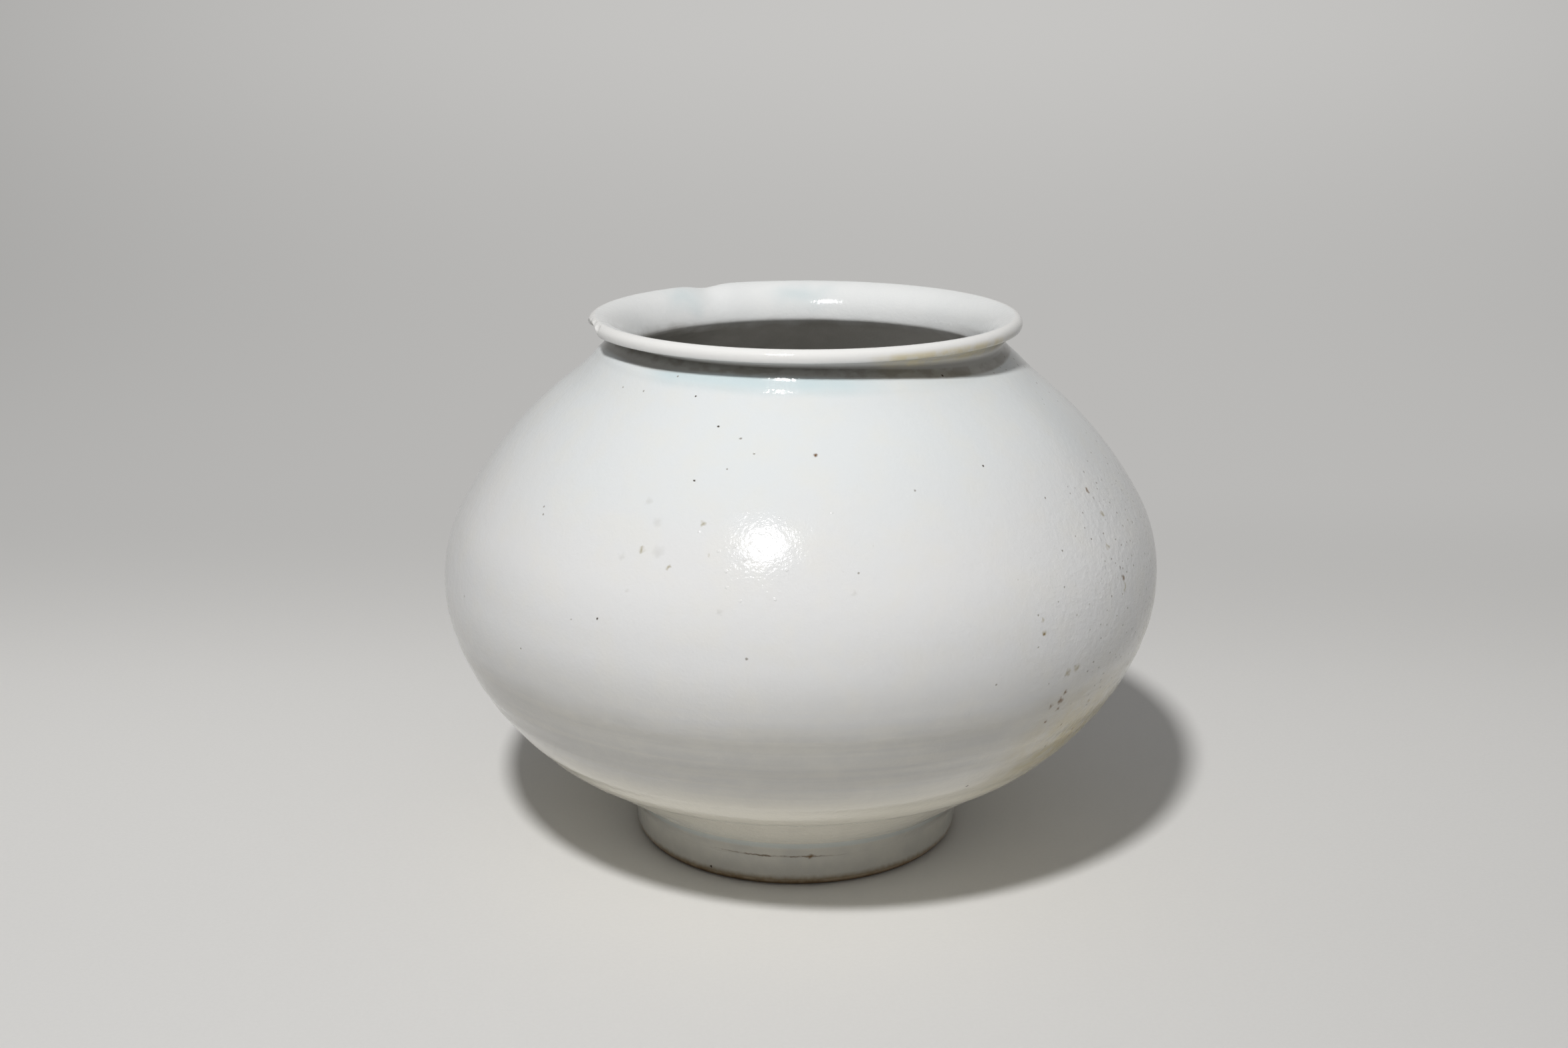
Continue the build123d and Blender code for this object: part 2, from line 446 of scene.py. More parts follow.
@dataclass(frozen=True)
class Warp:
    """How far the jar strays from a true turned form. Every piece goes through it.

    Side lifts are an azimuth, a width in degrees and a lift. Neck rings are the radius of a step, its width
    and its height.
    """

    form: Form
    belly_shift: float = 1.09
    lip_shift: float = 2.0
    neck_shift: float = 0.9
    neck_shift_reach: float = 4.5
    crease_lift: float = 2.75
    crease_azimuth: float = -122.0
    crease_spread: float = 70.0
    crease_reach: float = 3.4
    crease_radii: Pair = (42.5, 46.0)
    side_lifts: tuple[Triple, ...] = ((-4.0, 17.0, 1.5), (190.0, 24.0, 1.4))
    neck_rings: tuple[Triple, ...] = ((47.45, 1.2, 0.62), (49.5, 0.9, 0.34))
    ring_radii: Pair = (43.5, 46.3)
    ring_heights: Pair = (112.5, 115.5)
    dip_depth: float = 0.8
    dip_azimuth: float = 121.0
    dip_width: float = 5.0
    oval: float = 0.25
    oval_azimuth: float = 60.0

    def shift(self, height: Points) -> Points:
        """Sideways lean: a parabola through the foot, the belly and the lip, and a bell at the neck.

        Args:
            height: Heights in millimetres.

        Returns:
            The shift to the right at each height.
        """
        belly = self.form.lower_rim
        lip = self.form.jar_height
        bow = (self.lip_shift / lip - self.belly_shift / belly) / (lip - belly)
        slope = self.belly_shift / belly - bow * belly
        neck = self.neck_shift * hump(height, self.form.neck_height, self.neck_shift_reach)
        return slope * height + bow * height**2 + neck

    def bend(self, points: Points) -> Points:
        """Move points of the true form to where the real jar has them.

        The crease is lifted in front, by a flat-topped bell over azimuth times a bell over height, and a
        little at both sides. Two steps lie below it in front. The lip has a dip at the back, the plan is a
        little oval, and every height is shifted sideways by the lean.

        Args:
            points: Places in millimetres, the last axis X, Y and Z.

        Returns:
            The moved places.
        """
        form = self.form
        x, y, z = np.moveaxis(points, -1, 0)
        azimuth = np.arctan2(y, x)
        radius = np.hypot(x, y)
        front = plateau(azimuth, self.crease_azimuth, self.crease_spread)
        near_neck = hump(z, form.neck_height, self.crease_reach) * ease(radius, *self.crease_radii)
        behind = hump(turned_from(azimuth, self.dip_azimuth), 0.0, self.dip_width)
        on_lip = ease(z, form.neck_height, form.jar_height)
        rise = self.crease_lift * front
        for centre, width, lift in self.side_lifts:
            rise += lift * hump(turned_from(azimuth, centre), 0.0, width)
        lifted = z + rise * near_neck - self.dip_depth * behind * on_lip
        outside = hump(z, form.neck_height, 2.0 * self.crease_reach) * ease(z, *self.ring_heights)
        outside *= ease(radius, *self.ring_radii)
        for middle, width, step in self.neck_rings:
            inner = ease(radius, middle + width / 2.0, middle - width / 2.0)
            lifted += step * front * inner * outside
        girth = ease(z, form.foot_height, form.lower_rim)
        swell = self.oval * girth * np.cos(2.0 * np.radians(turned_from(azimuth, self.oval_azimuth)))
        scale = 1.0 + swell / form.belly_radius
        return np.stack([x * scale + self.shift(z), y * scale, lifted], axis=-1)


@dataclass(frozen=True)
class Around:
    """Azimuths of a piece's points: evenly spaced, or closer together over the broken place."""

    count: int
    closeness: float = 0.0
    close_azimuth: float = 191.0
    close_width: float = 16.0
    samples: int = 7201

    def azimuths(self) -> Points:
        """Azimuths from the inverse of the running sum of their density.

        Returns:
            Azimuths in radians.
        """
        fine = np.linspace(0.0, 2.0 * pi, self.samples)
        density = 1.0 + self.closeness * plateau(fine, self.close_azimuth, self.close_width)
        total = np.concatenate([[0.0], np.cumsum((density[1:] + density[:-1]) / 2.0)])
        wanted = np.linspace(0.0, total[-1], self.count, endpoint=False)
        return np.interp(wanted, total, fine)


def turn(profile: Points, azimuths: Points) -> Points:
    """Carry a profile round the Z axis.

    Args:
        profile: Radius and height of each point.
        azimuths: Azimuths in radians.

    Returns:
        Places, one ring of azimuths for each point of the profile.
    """
    radius = profile[:, 0, None]
    height = np.broadcast_to(profile[:, 1, None], (len(profile), len(azimuths)))
    return np.stack([radius * np.cos(azimuths), radius * np.sin(azimuths), height], axis=-1)


@dataclass(frozen=True)
class RingMesh:
    """A closed surface made of rings that follow each other along a profile.

    The rings are places in millimetres, one row for each ring. They end in a point on the axis at both ends,
    or the last one joins the first.
    """

    rings: Points
    looped: bool
    sharp_angle: float = 35.0

    def vertices(self) -> Points:
        """Places of the vertices, with each end ring of an open run as one vertex.

        Returns:
            One place for each vertex.
        """
        if self.looped:
            return self.rings.reshape(-1, 3)
        middle = self.rings[1:-1].reshape(-1, 3)
        return np.vstack([middle, self.rings[0].mean(axis=0), self.rings[-1].mean(axis=0)])

    def per_vertex(self, values: Points, ends: Points) -> Points:
        """Put values that belong to the rings in the vertices' order.

        Args:
            values: One value or vector for each point of each ring.
            ends: Values of the two end points of an open run.

        Returns:
            One value or vector for each vertex.
        """
        if self.looped:
            return values.reshape(-1, *values.shape[2:])
        return np.concatenate([values[1:-1].reshape(-1, *values.shape[2:]), ends])

    def corners(self) -> tuple[Points, Points]:
        """Corners of the faces: four between neighbouring rings, and three at a point on the axis.

        Returns:
            Vertex numbers of the corners, one face after another, and where each face starts.
        """
        count, around = self.rings.shape[:2]
        rows = count if self.looped else count - 2
        number = np.arange(rows * around).reshape(rows, around)
        below = np.roll(number, -1, axis=0) if self.looped else number[1:]
        above = number if self.looped else number[:-1]
        quads = np.stack([above, below, np.roll(below, -1, axis=1), np.roll(above, -1, axis=1)], axis=-1)
        flat = [quads.reshape(-1)]
        sizes = [np.full(quads.shape[0] * around, 4)]
        if not self.looped:
            first = np.full(around, rows * around)
            last = first + 1
            flat.append(np.stack([first, number[0], np.roll(number[0], -1)], axis=-1).reshape(-1))
            flat.append(np.stack([number[-1], last, np.roll(number[-1], -1)], axis=-1).reshape(-1))
            sizes.append(np.full(2 * around, 3))
        lengths = np.concatenate(sizes)
        starts = np.concatenate([[0], np.cumsum(lengths)[:-1]])
        return np.concatenate(flat), starts

    def build(self, name: str, normals: Points | None = None, heights: Points | None = None) -> Piece:
        """Make the Blender object.

        Args:
            name: Name of the piece.
            normals: Normals of the vertices, or None to shade by the faces' own angles.
            heights: Heights of the vertices on the true form, kept as an attribute for the material.

        Returns:
            The object, at the origin.
        """
        places = self.vertices() * MM
        corners, starts = self.corners()
        mesh = bpy.data.meshes.new(name)
        mesh.vertices.add(len(places))
        mesh.vertices.foreach_set("co", places.astype(np.float32).reshape(-1))
        mesh.loops.add(len(corners))
        mesh.loops.foreach_set("vertex_index", corners.astype(np.int32))
        mesh.polygons.add(len(starts))
        mesh.polygons.foreach_set("loop_start", starts.astype(np.int32))
        mesh.update(calc_edges=True)
        mesh.shade_smooth()
        if normals is None:
            mesh.set_sharp_from_angle(angle=radians(self.sharp_angle))
        else:
            mesh.normals_split_custom_set_from_vertices(normals.tolist())
        if heights is not None:
            kept = mesh.attributes.new(TRUE_HEIGHT, "FLOAT", "POINT")
            kept.data.foreach_set("value", heights.astype(np.float32))
        piece = bpy.data.objects.new(name, mesh)
        bpy.context.scene.collection.objects.link(piece)
        return piece


@dataclass(frozen=True)
class Break:
    """The place where flakes broke off the lip, as a few hollows with ridges between them."""

    form: Form
    middle: float = 195.0
    half_width: float = 25.0
    above_neck: float = 1.0
    least_reach: float = 0.05
    scoops: tuple[Scoop, ...] = (
        Scoop(192.5, -31.0, 1.25, 70.0),
        Scoop(190.5, 40.0, 0.30, 3.0),
        Scoop(196.0, 44.0, 0.45, 3.5),
        Scoop(201.5, 36.0, 0.42, 3.2),
    )

    def cut(self, points: Points, below: float) -> Points:
        """Draw points of the lip in to the hollows.

        Each point lies at some distance from the middle of the lip, within its own upright plane. The
        distance is held to where the line to the point enters a ball: with a the way along the line to
        the place nearest the ball's centre, a - sqrt(a^2 - centre^2 + radius^2).

        Args:
            points: Places on the lip before the warp.
            below: How far under the hollows the points are left.

        Returns:
            The places, with those inside a ball moved in to its surface.
        """
        lip_out, lip_up = self.form.lip_centre
        azimuth = np.arctan2(points[..., 1], points[..., 0])
        out = np.stack([np.cos(azimuth), np.sin(azimuth), np.zeros_like(azimuth)], axis=-1)
        up = np.array([0.0, 0.0, 1.0])
        middle = lip_out * out + lip_up * up
        line = points - middle
        reach = np.linalg.norm(line, axis=-1)
        line = line / np.maximum(reach, 1e-6)[..., None]
        limit = np.full(reach.shape, np.inf)
        for scoop in self.scoops:
            turned, tilt = radians(scoop.azimuth), radians(scoop.elevation)
            side = np.array([cos(turned), sin(turned), 0.0])
            direction = cos(tilt) * side + sin(tilt) * up
            centre = lip_out * side + lip_up * up
            centre = centre + (self.form.lip_radius - scoop.depth + scoop.radius) * direction
            away = centre - middle
            along = np.einsum("...k,...k->...", line, away)
            under_root = along**2 - np.einsum("...k,...k->...", away, away) + scoop.radius**2
            met = (under_root > 0.0) & (along > 0.0)
            limit = np.minimum(limit, np.where(met, along - np.sqrt(np.maximum(under_root, 0.0)), np.inf))
        on_lip = points[..., 2] > self.form.neck_height + self.above_neck
        near = on_lip & (np.abs(turned_from(azimuth, self.middle)) < self.half_width)
        held = np.where(near, np.minimum(reach, np.maximum(limit - below, self.least_reach)), reach)
        return middle + line * held[..., None]


@dataclass(frozen=True)
class Unevenness:
    """Relief that throwing, turning and glazing left on the outside, in millimetres outwards.

    Throwing waves are an amount, a number of folds, a climb in radians for each millimetre of height and a
    phase. Turning rings are a depth, a pitch, a phase, and the amount and folds of their sway. Grooves are
    a height over the crease of the foot and a depth. Spans of height count from the ridge, the neck or the
    crease of the foot that they are named for.
    """

    form: Form
    waves_over_ridge: float = 12.0
    waves_under_neck: float = 9.0
    throwing_waves: tuple[Quad, ...] = (
        (0.10, 2.0, 0.055, 0.4),
        (0.07, 3.0, -0.081, 2.1),
        (0.05, 5.0, 0.120, 4.0),
        (0.035, 8.0, -0.190, 1.1),
    )
    rings_over_ridge: Pair = (-1.0, 6.0)
    rings_end: Pair = (66.0, 48.0)
    turning_rings: tuple[tuple[float, ...], ...] = ((0.06, 6.4, 0.0, 0.5, 1.0), (0.035, 4.1, 1.3, 0.4, 2.0))
    ridge_step: float = 0.34
    step_over_ridge: Pair = (0.7, -0.9)
    step_over_foot: float = 3.0
    ridge_wander: tuple[Triple, ...] = ((0.25, 3.0, 0.8), (0.15, 7.0, 0.0))
    grooves: tuple[Pair, ...] = ((0.9, 0.22), (2.2, 0.132))
    groove_width: float = 0.28
    crack_height: float = 7.9
    crack_depth: float = 0.42
    crack_width: float = 0.24
    crack_wander: tuple[Triple, ...] = ((0.16, 7.0, 0.6), (0.09, 19.0, 0.0))
    crack_azimuth: float = -90.0
    crack_left: Pair = (-36.0, -28.0)
    crack_right: Pair = (22.0, 12.0)
    crack_openness: float = 0.72
    crack_raggedness: tuple[Triple, ...] = ((0.2, 31.0, 1.0), (0.12, 67.0, 0.0))

    def crack(self, height: Points, azimuths: Points) -> Points:
        """Open seam of the foot: a groove that wanders a little, over the front, with ragged edges.

        Args:
            height: Height of each ring, as a column.
            azimuths: Azimuths in radians.

        Returns:
            Depth of the seam for each ring and azimuth.
        """
        turned = turned_from(azimuths, self.crack_azimuth)
        span = ease(turned, *self.crack_left) * ease(turned, *self.crack_right)
        openness = span * (self.crack_openness + ripple(azimuths, self.crack_raggedness))
        line = self.crack_height + ripple(azimuths, self.crack_wander)
        return self.crack_depth * openness * hump(height, line, self.crack_width)

    def height(self, profile: Points, azimuths: Points) -> Points:
        """Relief over the outside.

        Sums slow throwing waves, fine turning rings low on the wall, the step below the turned ridge,
        two grooves in the crease over the foot and the open seam of the foot.

        Args:
            profile: Radius and height of each ring.
            azimuths: Azimuths in radians.

        Returns:
            Height outwards for each ring and azimuth.
        """
        ridge, neck, foot = self.form.ridge_height, self.form.neck_height, self.form.foot_height
        z = profile[:, 1, None]
        on_wall = ease(z, foot, ridge + self.waves_over_ridge) * ease(z, neck, neck - self.waves_under_neck)
        relief = np.zeros((len(profile), len(azimuths)))
        for amount, folds, climb, phase in self.throwing_waves:
            relief += amount * on_wall * np.sin(folds * azimuths + climb * z + phase)
        low = ease(z - ridge, *self.rings_over_ridge) * ease(z, *self.rings_end)
        for depth, pitch, phase, sway, folds in self.turning_rings:
            relief += depth * low * np.sin(2.0 * pi * z / pitch + phase + sway * np.sin(folds * azimuths))
        under_ridge = ease(z - ridge + ripple(azimuths, self.ridge_wander), *self.step_over_ridge)
        relief -= self.ridge_step * under_ridge * ease(z, foot, foot + self.step_over_foot)
        for rise, depth in self.grooves:
            relief -= depth * hump(z, foot + rise, self.groove_width)
        return relief - self.crack(z, azimuths)


@dataclass
class GlazeSkin:
    """The surface of the glaze, from the middle of the inside floor over the lip to the foot.

    It is worked out as one grid, so that the inner and the outer coat meet smoothly on the lip.
    """

    form: Form
    warp: Warp
    around: Around
    fine_step: float = 0.05
    corner_easing: float = 0.26
    pool_easing: float = 1.5
    pool_reach: float = 2.6
    spacing_easing: float = 1.0
    ringed_points: int = 120
    backing_rings: int = 12
    skin_below_break: float = 0.07
    under_below_break: float = 0.1

    def __post_init__(self) -> None:
        """Work out the grid: the profile turned, raised by the relief, broken at the lip and warped."""
        self.azimuths = self.around.azimuths()
        inside = self.sample(self.inside_stretches(), flat_start=True)
        outside = self.sample(self.outside_stretches(), flat_start=False)
        self.crest = len(inside) - 1
        self.profile = np.vstack([inside, outside[1:]])
        across = self.across(self.profile)
        relief = np.zeros((len(self.profile), len(self.azimuths)))
        relief[self.crest:] = Unevenness(self.form).height(outside, self.azimuths)
        lip_break = Break(self.form)
        true_form = turn(self.profile, self.azimuths) + relief[..., None] * turn(across, self.azimuths)
        self.places = self.warp.bend(lip_break.cut(true_form, self.skin_below_break))
        self.normals = self.facing(self.places)
        under = self.profile - self.form.glaze * across
        under[0, 0] = 0.0
        self.under = self.warp.bend(lip_break.cut(turn(under, self.azimuths), self.under_below_break))

    def inside_stretches(self) -> list[Stretch]:
        """Stretches from the middle of the floor up to the top of the lip.

        Returns:
            The stretches, in order.
        """
        form, step = self.form, self.fine_step
        below, flare, lip = backwards(form.lip_inside(0.0, step))
        return [
            *(Stretch(run, spacing=3.0) for run in backwards(form.base_inside(0.0, step))),
            *(Stretch(run, spacing=2.4) for run in backwards(form.wall_runs(form.wall, step))),
            Stretch(straight(form.neck_edge(form.wall), form.collar_start(form.wall), step), spacing=0.7),
            Stretch(below, spacing=0.45),
            Stretch(flare, spacing=0.55),
            Stretch(lip, spacing=0.4),
        ]

    def outside_stretches(self) -> list[Stretch]:
        """Stretches from the top of the lip down to the bare edge of the foot.

        Returns:
            The stretches, in order.
        """
        form, step = self.form, self.fine_step
        nose, edge, cove = form.lip_outside(0.0, step)
        shoulder, upper, joint, lower, haunch = form.wall_runs(0.0, step)
        neck = form.shoulder.at(form.shoulder.end)
        ridge = form.haunch.at(form.haunch.end)
        crease = form.foot_crease(0.0)
        return [
            Stretch(nose, spacing=0.34),
            Stretch(edge, spacing=0.2),
            Stretch(cove, spacing=0.36),
            Stretch(straight(form.collar_start(0.0), neck, step), spacing=0.5),
            Stretch(shoulder[:self.ringed_points + 1], spacing=0.36),
            Stretch(shoulder[self.ringed_points:], spacing=1.7),
            Stretch(upper, spacing=1.6),
            Stretch(joint, spacing=1.4),
            Stretch(lower, spacing=1.5),
            Stretch(haunch, spacing=1.35),
            Stretch(straight(ridge, crease, step), spacing=0.85),
            Stretch(straight(crease, form.foot_side(form.bare_edge, 0.0), step), spacing=0.27),
        ]

    def sample(self, stretches: list[Stretch], flat_start: bool) -> Points:
        """Ease the corners of a run of stretches, and space its rings.

        The run is followed by running means with a Gaussian weight, a wide one in the crease under the
        collar where glaze pools and a narrow one elsewhere. Rings then lie where the running sum of
        1 / spacing reaches whole numbers.

        Args:
            stretches: The parts of the run.
            flat_start: Whether the run starts on the axis.

        Returns:
            Radius and height of each ring.
        """
        points = np.vstack([stretches[0].points] + [part.points[1:] for part in stretches[1:]])
        lengths = [len(stretches[0].points)] + [len(part.points) - 1 for part in stretches[1:]]
        spacing = np.repeat([part.spacing for part in stretches], lengths)
        along = np.concatenate([[0.0], np.cumsum(np.linalg.norm(np.diff(points, axis=0), axis=1))])
        even = np.linspace(0.0, along[-1], int(along[-1] / self.fine_step) + 1)
        points = self.read_off(even, along, points)
        spacing = np.interp(even, along, spacing)
        crease = np.array(self.form.shoulder.at(self.form.shoulder.end))
        pooled = hump(np.linalg.norm(points - crease, axis=1), 0.0, self.pool_reach)[:, None]
        narrow = self.running_mean(points, self.corner_easing)
        wide = self.running_mean(points, self.pool_easing)
        points = narrow + pooled * (wide - narrow)
        if flat_start:
            points[0, 0] = 0.0
        spacing = self.running_mean(spacing[:, None], self.spacing_easing)[:, 0]
        density = np.concatenate([[0.0], np.cumsum(self.fine_step / spacing)[:-1]])
        wanted = np.linspace(0.0, density[-1], int(density[-1]) + 1)
        return self.read_off(wanted, density, points)

    @staticmethod
    def read_off(wanted: Points, known: Points, points: Points) -> Points:
        """Points of a profile at wanted values of a number that is known at each of its points."""
        return np.column_stack([np.interp(wanted, known, column) for column in points.T])

    def running_mean(self, rows: Points, width: float) -> Points:
        """Gaussian running mean of rows, with each end carried on by its mirror through the end point.

        Args:
            rows: Rows that lie one fine step apart.
            width: Standard deviation in millimetres.

        Returns:
            The smoothed rows, with their ends where they were.
        """
        half = int(3.0 * width / self.fine_step)
        weight = np.exp(-0.5 * (np.arange(-half, half + 1) * self.fine_step / width) ** 2)
        weight /= weight.sum()
        before = 2.0 * rows[0] - rows[half:0:-1]
        after = 2.0 * rows[-1] - rows[-2:-half - 2:-1]
        padded = np.vstack([before, rows, after])
        return np.column_stack([np.convolve(column, weight, mode="valid") for column in padded.T])

    @staticmethod
    def across(profile: Points) -> Points:
        """Unit normals of a profile, out of the clay: its direction turned by a quarter to the left.

        Args:
            profile: Radius and height of each ring.

        Returns:
            Parts of each normal along radius and height.
        """
        along = np.gradient(profile, axis=0)
        along /= np.linalg.norm(along, axis=1)[:, None]
        return np.column_stack([-along[:, 1], along[:, 0]])

    @staticmethod
    def facing(places: Points) -> Points:
        """Unit normals of a grid of rings: the step along it crossed with the step around it.

        Args:
            places: Places, one row for each ring.

        Returns:
            One normal for each place.
        """
        along = np.gradient(places, axis=0)
        around = np.roll(places, -1, axis=1) - np.roll(places, 1, axis=1)
        around[0] = around[1]
        normal = np.cross(along, around)
        return normal / np.maximum(np.linalg.norm(normal, axis=-1), 1e-9)[..., None]

    def coat(self, name: str, first: int, last: int) -> Piece:
        """Close a stretch of rings with a coarser sheet on its clay side.

        Args:
            name: Name of the piece.
            first: First ring.
            last: Last ring.

        Returns:
            The piece.
        """
        rings = np.arange(first, last + 1)
        back = np.unique(np.linspace(first, last, self.backing_rings).astype(int))[::-1]
        places = np.concatenate([self.places[rings], self.under[back]])
        normals = np.concatenate([self.normals[rings], -self.normals[back]])
        heights = np.repeat(self.profile[np.concatenate([rings, back]), 1], len(self.azimuths))
        heights = heights.reshape(len(places), -1)
        mesh = RingMesh(places, looped=first > 0)
        return mesh.build(
            name,
            mesh.per_vertex(normals, np.array([[0.0, 0.0, 1.0], [0.0, 0.0, -1.0]])),
            mesh.per_vertex(heights, heights[[0, -1], 0]),
        )


@dataclass(frozen=True)
class Clay:
    """The thrown pieces and the slip that joins them, each a closed turned body under the glaze."""

    form: Form
    warp: Warp
    wall_step: float = 1.2
    lip_step: float = 0.3
    flat_step: float = 4.0
    seat_step: float = 0.8
    round_step: float = 0.2
    well_step: float = 1.0
    same_place: float = 1e-4
    plain: Around = Around(220)
    close: Around = Around(420, closeness=4.0)
    standing: Around = Around(360)
    hollow: Around = Around(300)

    def body(self, name: str, runs: list[Points], around: Around, looped: bool = True,
             broken: bool = False) -> Piece:
        """Turn a closed run of profile points into a piece.

        Args:
            name: Name of the piece.
            runs: Runs of points that follow each other clockwise, down the outside.
            around: Azimuths of the points.
            looped: Whether the run closes on itself. If not, it starts and ends on the axis.
            broken: Whether the flake is missing from it.

        Returns:
            The piece.
        """
        profile = np.vstack(runs)
        apart = np.linalg.norm(np.diff(profile, axis=0), axis=1) > self.same_place
        profile = profile[np.concatenate([[True], apart])]
        if looped and np.linalg.norm(profile[0] - profile[-1]) < self.same_place:
            profile = profile[:-1]
        places = turn(profile, around.azimuths())
        if broken:
            places = Break(self.form).cut(places, below=0.0)
        return RingMesh(self.warp.bend(places), looped).build(name)

    def lower_bowl(self) -> Piece:
        """Lower bowl: inside of the floor and wall, over its rim and down to the underside.

        Returns:
            The piece.
        """
        form, step = self.form, self.wall_step
        side = form.foot_side(form.bowl_underside, form.glaze)
        runs = [
            *backwards(form.base_inside(form.glaze, step)),
            *backwards(form.wall_runs(form.clay_inside, step)[3:]),
            *form.wall_runs(form.glaze, step)[3:],
            np.array([form.foot_crease(form.glaze), side]),
            straight(side, (0.0, form.bowl_underside), self.flat_step),
        ]
        return self.body("lower_bowl_clay", runs, self.plain, looped=False)

    def upper_bowl(self) -> Piece:
        """Upper bowl: down the outside from its bevel to its rim, and up the inside.

        Returns:
            The piece.
        """
        outside = self.form.wall_runs(self.form.glaze, self.wall_step)[:2]
        inside = backwards(self.form.wall_runs(self.form.clay_inside, self.wall_step)[:2])
        return self.body("upper_bowl_clay", [*outside, *inside], self.plain)

    def mouth_rim(self) -> Piece:
        """Collar and rolled lip, with the broken place.

        Returns:
            The piece.
        """
        form, step = self.form, self.lip_step
        outside = form.lip_outside(form.glaze, step)
        seat = straight(form.collar_start(form.glaze), form.collar_start(form.clay_inside), self.seat_step)
        inside = backwards(form.lip_inside(form.glaze, step))
        return self.body("mouth_rim_clay", [*outside, seat, *inside], self.close, broken=True)

    def foot_ring(self) -> Piece:
        """Foot ring, rounded where it stands.

        Returns:
            The piece.
        """
        form = self.form
        round_out, round_in = form.foot_round, form.bore_round
        foot = form.foot_side(0.0, form.glaze)
        outer = Arc((foot[0] - round_out, round_out), round_out, 0.0, -90.0)
        inner = Arc((form.bore_radius + round_in, round_in), round_in, -90.0, -180.0)
        runs = [
            straight(form.foot_side(form.foot_ring_height, form.glaze), outer.at(0.0), self.seat_step),
            outer.points(0.0, self.round_step),
            inner.points(0.0, self.round_step),
            straight(inner.at(-180.0), (form.bore_radius, form.foot_ring_height), self.seat_step),
        ]
        return self.body("foot_ring_clay", runs, self.standing)

    def belly_slip(self) -> Piece:
        """Slip between the rims of the two bowls.

        Returns:
            The piece.
        """
        coat, inner = self.form.glaze, self.form.clay_inside
        upper, lower = self.form.upper_belly, self.form.lower_belly
        corners = [upper.at(0.0, coat), lower.at(0.0, coat), lower.at(0.0, inner), upper.at(0.0, inner)]
        return self.body("belly_seam_slip_ring", [np.array(corners)], self.plain)

    def neck_slip(self) -> Piece:
        """Slip between the bevel of the upper bowl and the collar.

        Returns:
            The piece.
        """
        form = self.form
        corners = [
            form.collar_start(form.glaze),
            form.neck_edge(form.glaze),
            form.neck_edge(form.clay_inside),
            form.collar_start(form.clay_inside),
        ]
        return self.body("neck_seam_slip_ring", [np.array(corners)], self.plain)

    def foot_slip(self) -> Piece:
        """Slip between the bowl's stub and the foot ring.

        Returns:
            The piece.
        """
        form = self.form
        corners = [
            form.foot_side(form.bowl_underside, form.glaze),
            form.foot_side(form.foot_ring_height, form.glaze),
            (form.bore_radius, form.foot_ring_height),
            (form.bore_radius, form.bowl_underside),
        ]
        return self.body("foot_seam_slip_ring", [np.array(corners)], self.plain)

    def foot_well(self) -> Piece:
        """Glaze in the hollow of the foot.

        Returns:
            The piece.
        """
        form = self.form
        roof, edge = form.bowl_underside, form.bore_radius
        low_roof, inner_edge = roof - form.glaze, edge - form.glaze
        runs = [
            straight((0.0, roof), (edge, roof), self.flat_step),
            straight((edge, roof), (edge, form.bare_edge), self.well_step),
            straight((inner_edge, form.bare_edge), (inner_edge, low_roof), self.well_step),
            straight((inner_edge, low_roof), (0.0, low_roof), self.flat_step),
        ]
        return self.body("foot_well_glaze_coat", runs, self.hollow, looped=False)


@dataclass(frozen=True)
class Sight:
    """The photograph's camera: where it stood, how it was tilted, and its frame in pixels."""

    place: Triple = (-2.87, -433.8, 199.2)
    pitch: float = 15.83
    focal: float = 2800.0
    wide: int = 2346
    high: int = 1568
    sensor: float = 36.0
    nearest: float = 0.01

    def build(self) -> None:
        """Make the camera and set it as the scene's own."""
        data = bpy.data.cameras.new("photo_camera")
        data.sensor_fit = "HORIZONTAL"
        data.sensor_width = self.sensor
        data.lens = self.focal / self.wide * self.sensor
        data.clip_start = self.nearest
        camera = bpy.data.objects.new("photo_camera", data)
        camera.location = [part * MM for part in self.place]
        camera.rotation_euler = (radians(90.0 - self.pitch), 0.0, 0.0)
        bpy.context.scene.collection.objects.link(camera)
        bpy.context.scene.camera = camera

    def on_surface(self, column: float, row: float, piece: Piece) -> Triple | None:
        """Place on a piece that a pixel of the photograph shows.

        Args:
            column: Column of the pixel.
            row: Row of the pixel.
            piece: The piece, at the origin.

        Returns:
            The place in millimetres, or None where the pixel misses the piece.
        """
        tilt = radians(self.pitch)
        across = (column - self.wide / 2.0) / self.focal
        up = (self.high / 2.0 - row) / self.focal
        toward = (across, cos(tilt) + up * sin(tilt), up * cos(tilt) - sin(tilt))
        hit, place, _, _ = piece.ray_cast([part * MM for part in self.place], toward)
        return tuple(part / MM for part in place) if hit else None


@dataclass(frozen=True)
class Cloud:
    """Noise graded to a share.

    Its lumps have a size in millimetres, a number of finer octaves with their roughness, and a stretch along
    each axis. Noise from low to high is graded to shares from least to most.
    """

    size: float
    octaves: float
    low: float
    high: float
    least: float = 0.0
    most: float = 1.0
    roughness: float = 0.5
    stretch: Triple = (1.0, 1.0, 1.0)


@dataclass(frozen=True)
class Blot:
    """A soft-edged spot: its middle and half sizes in millimetres, and the share of it that fades."""

    centre: Triple
    radii: Triple
    soft: float


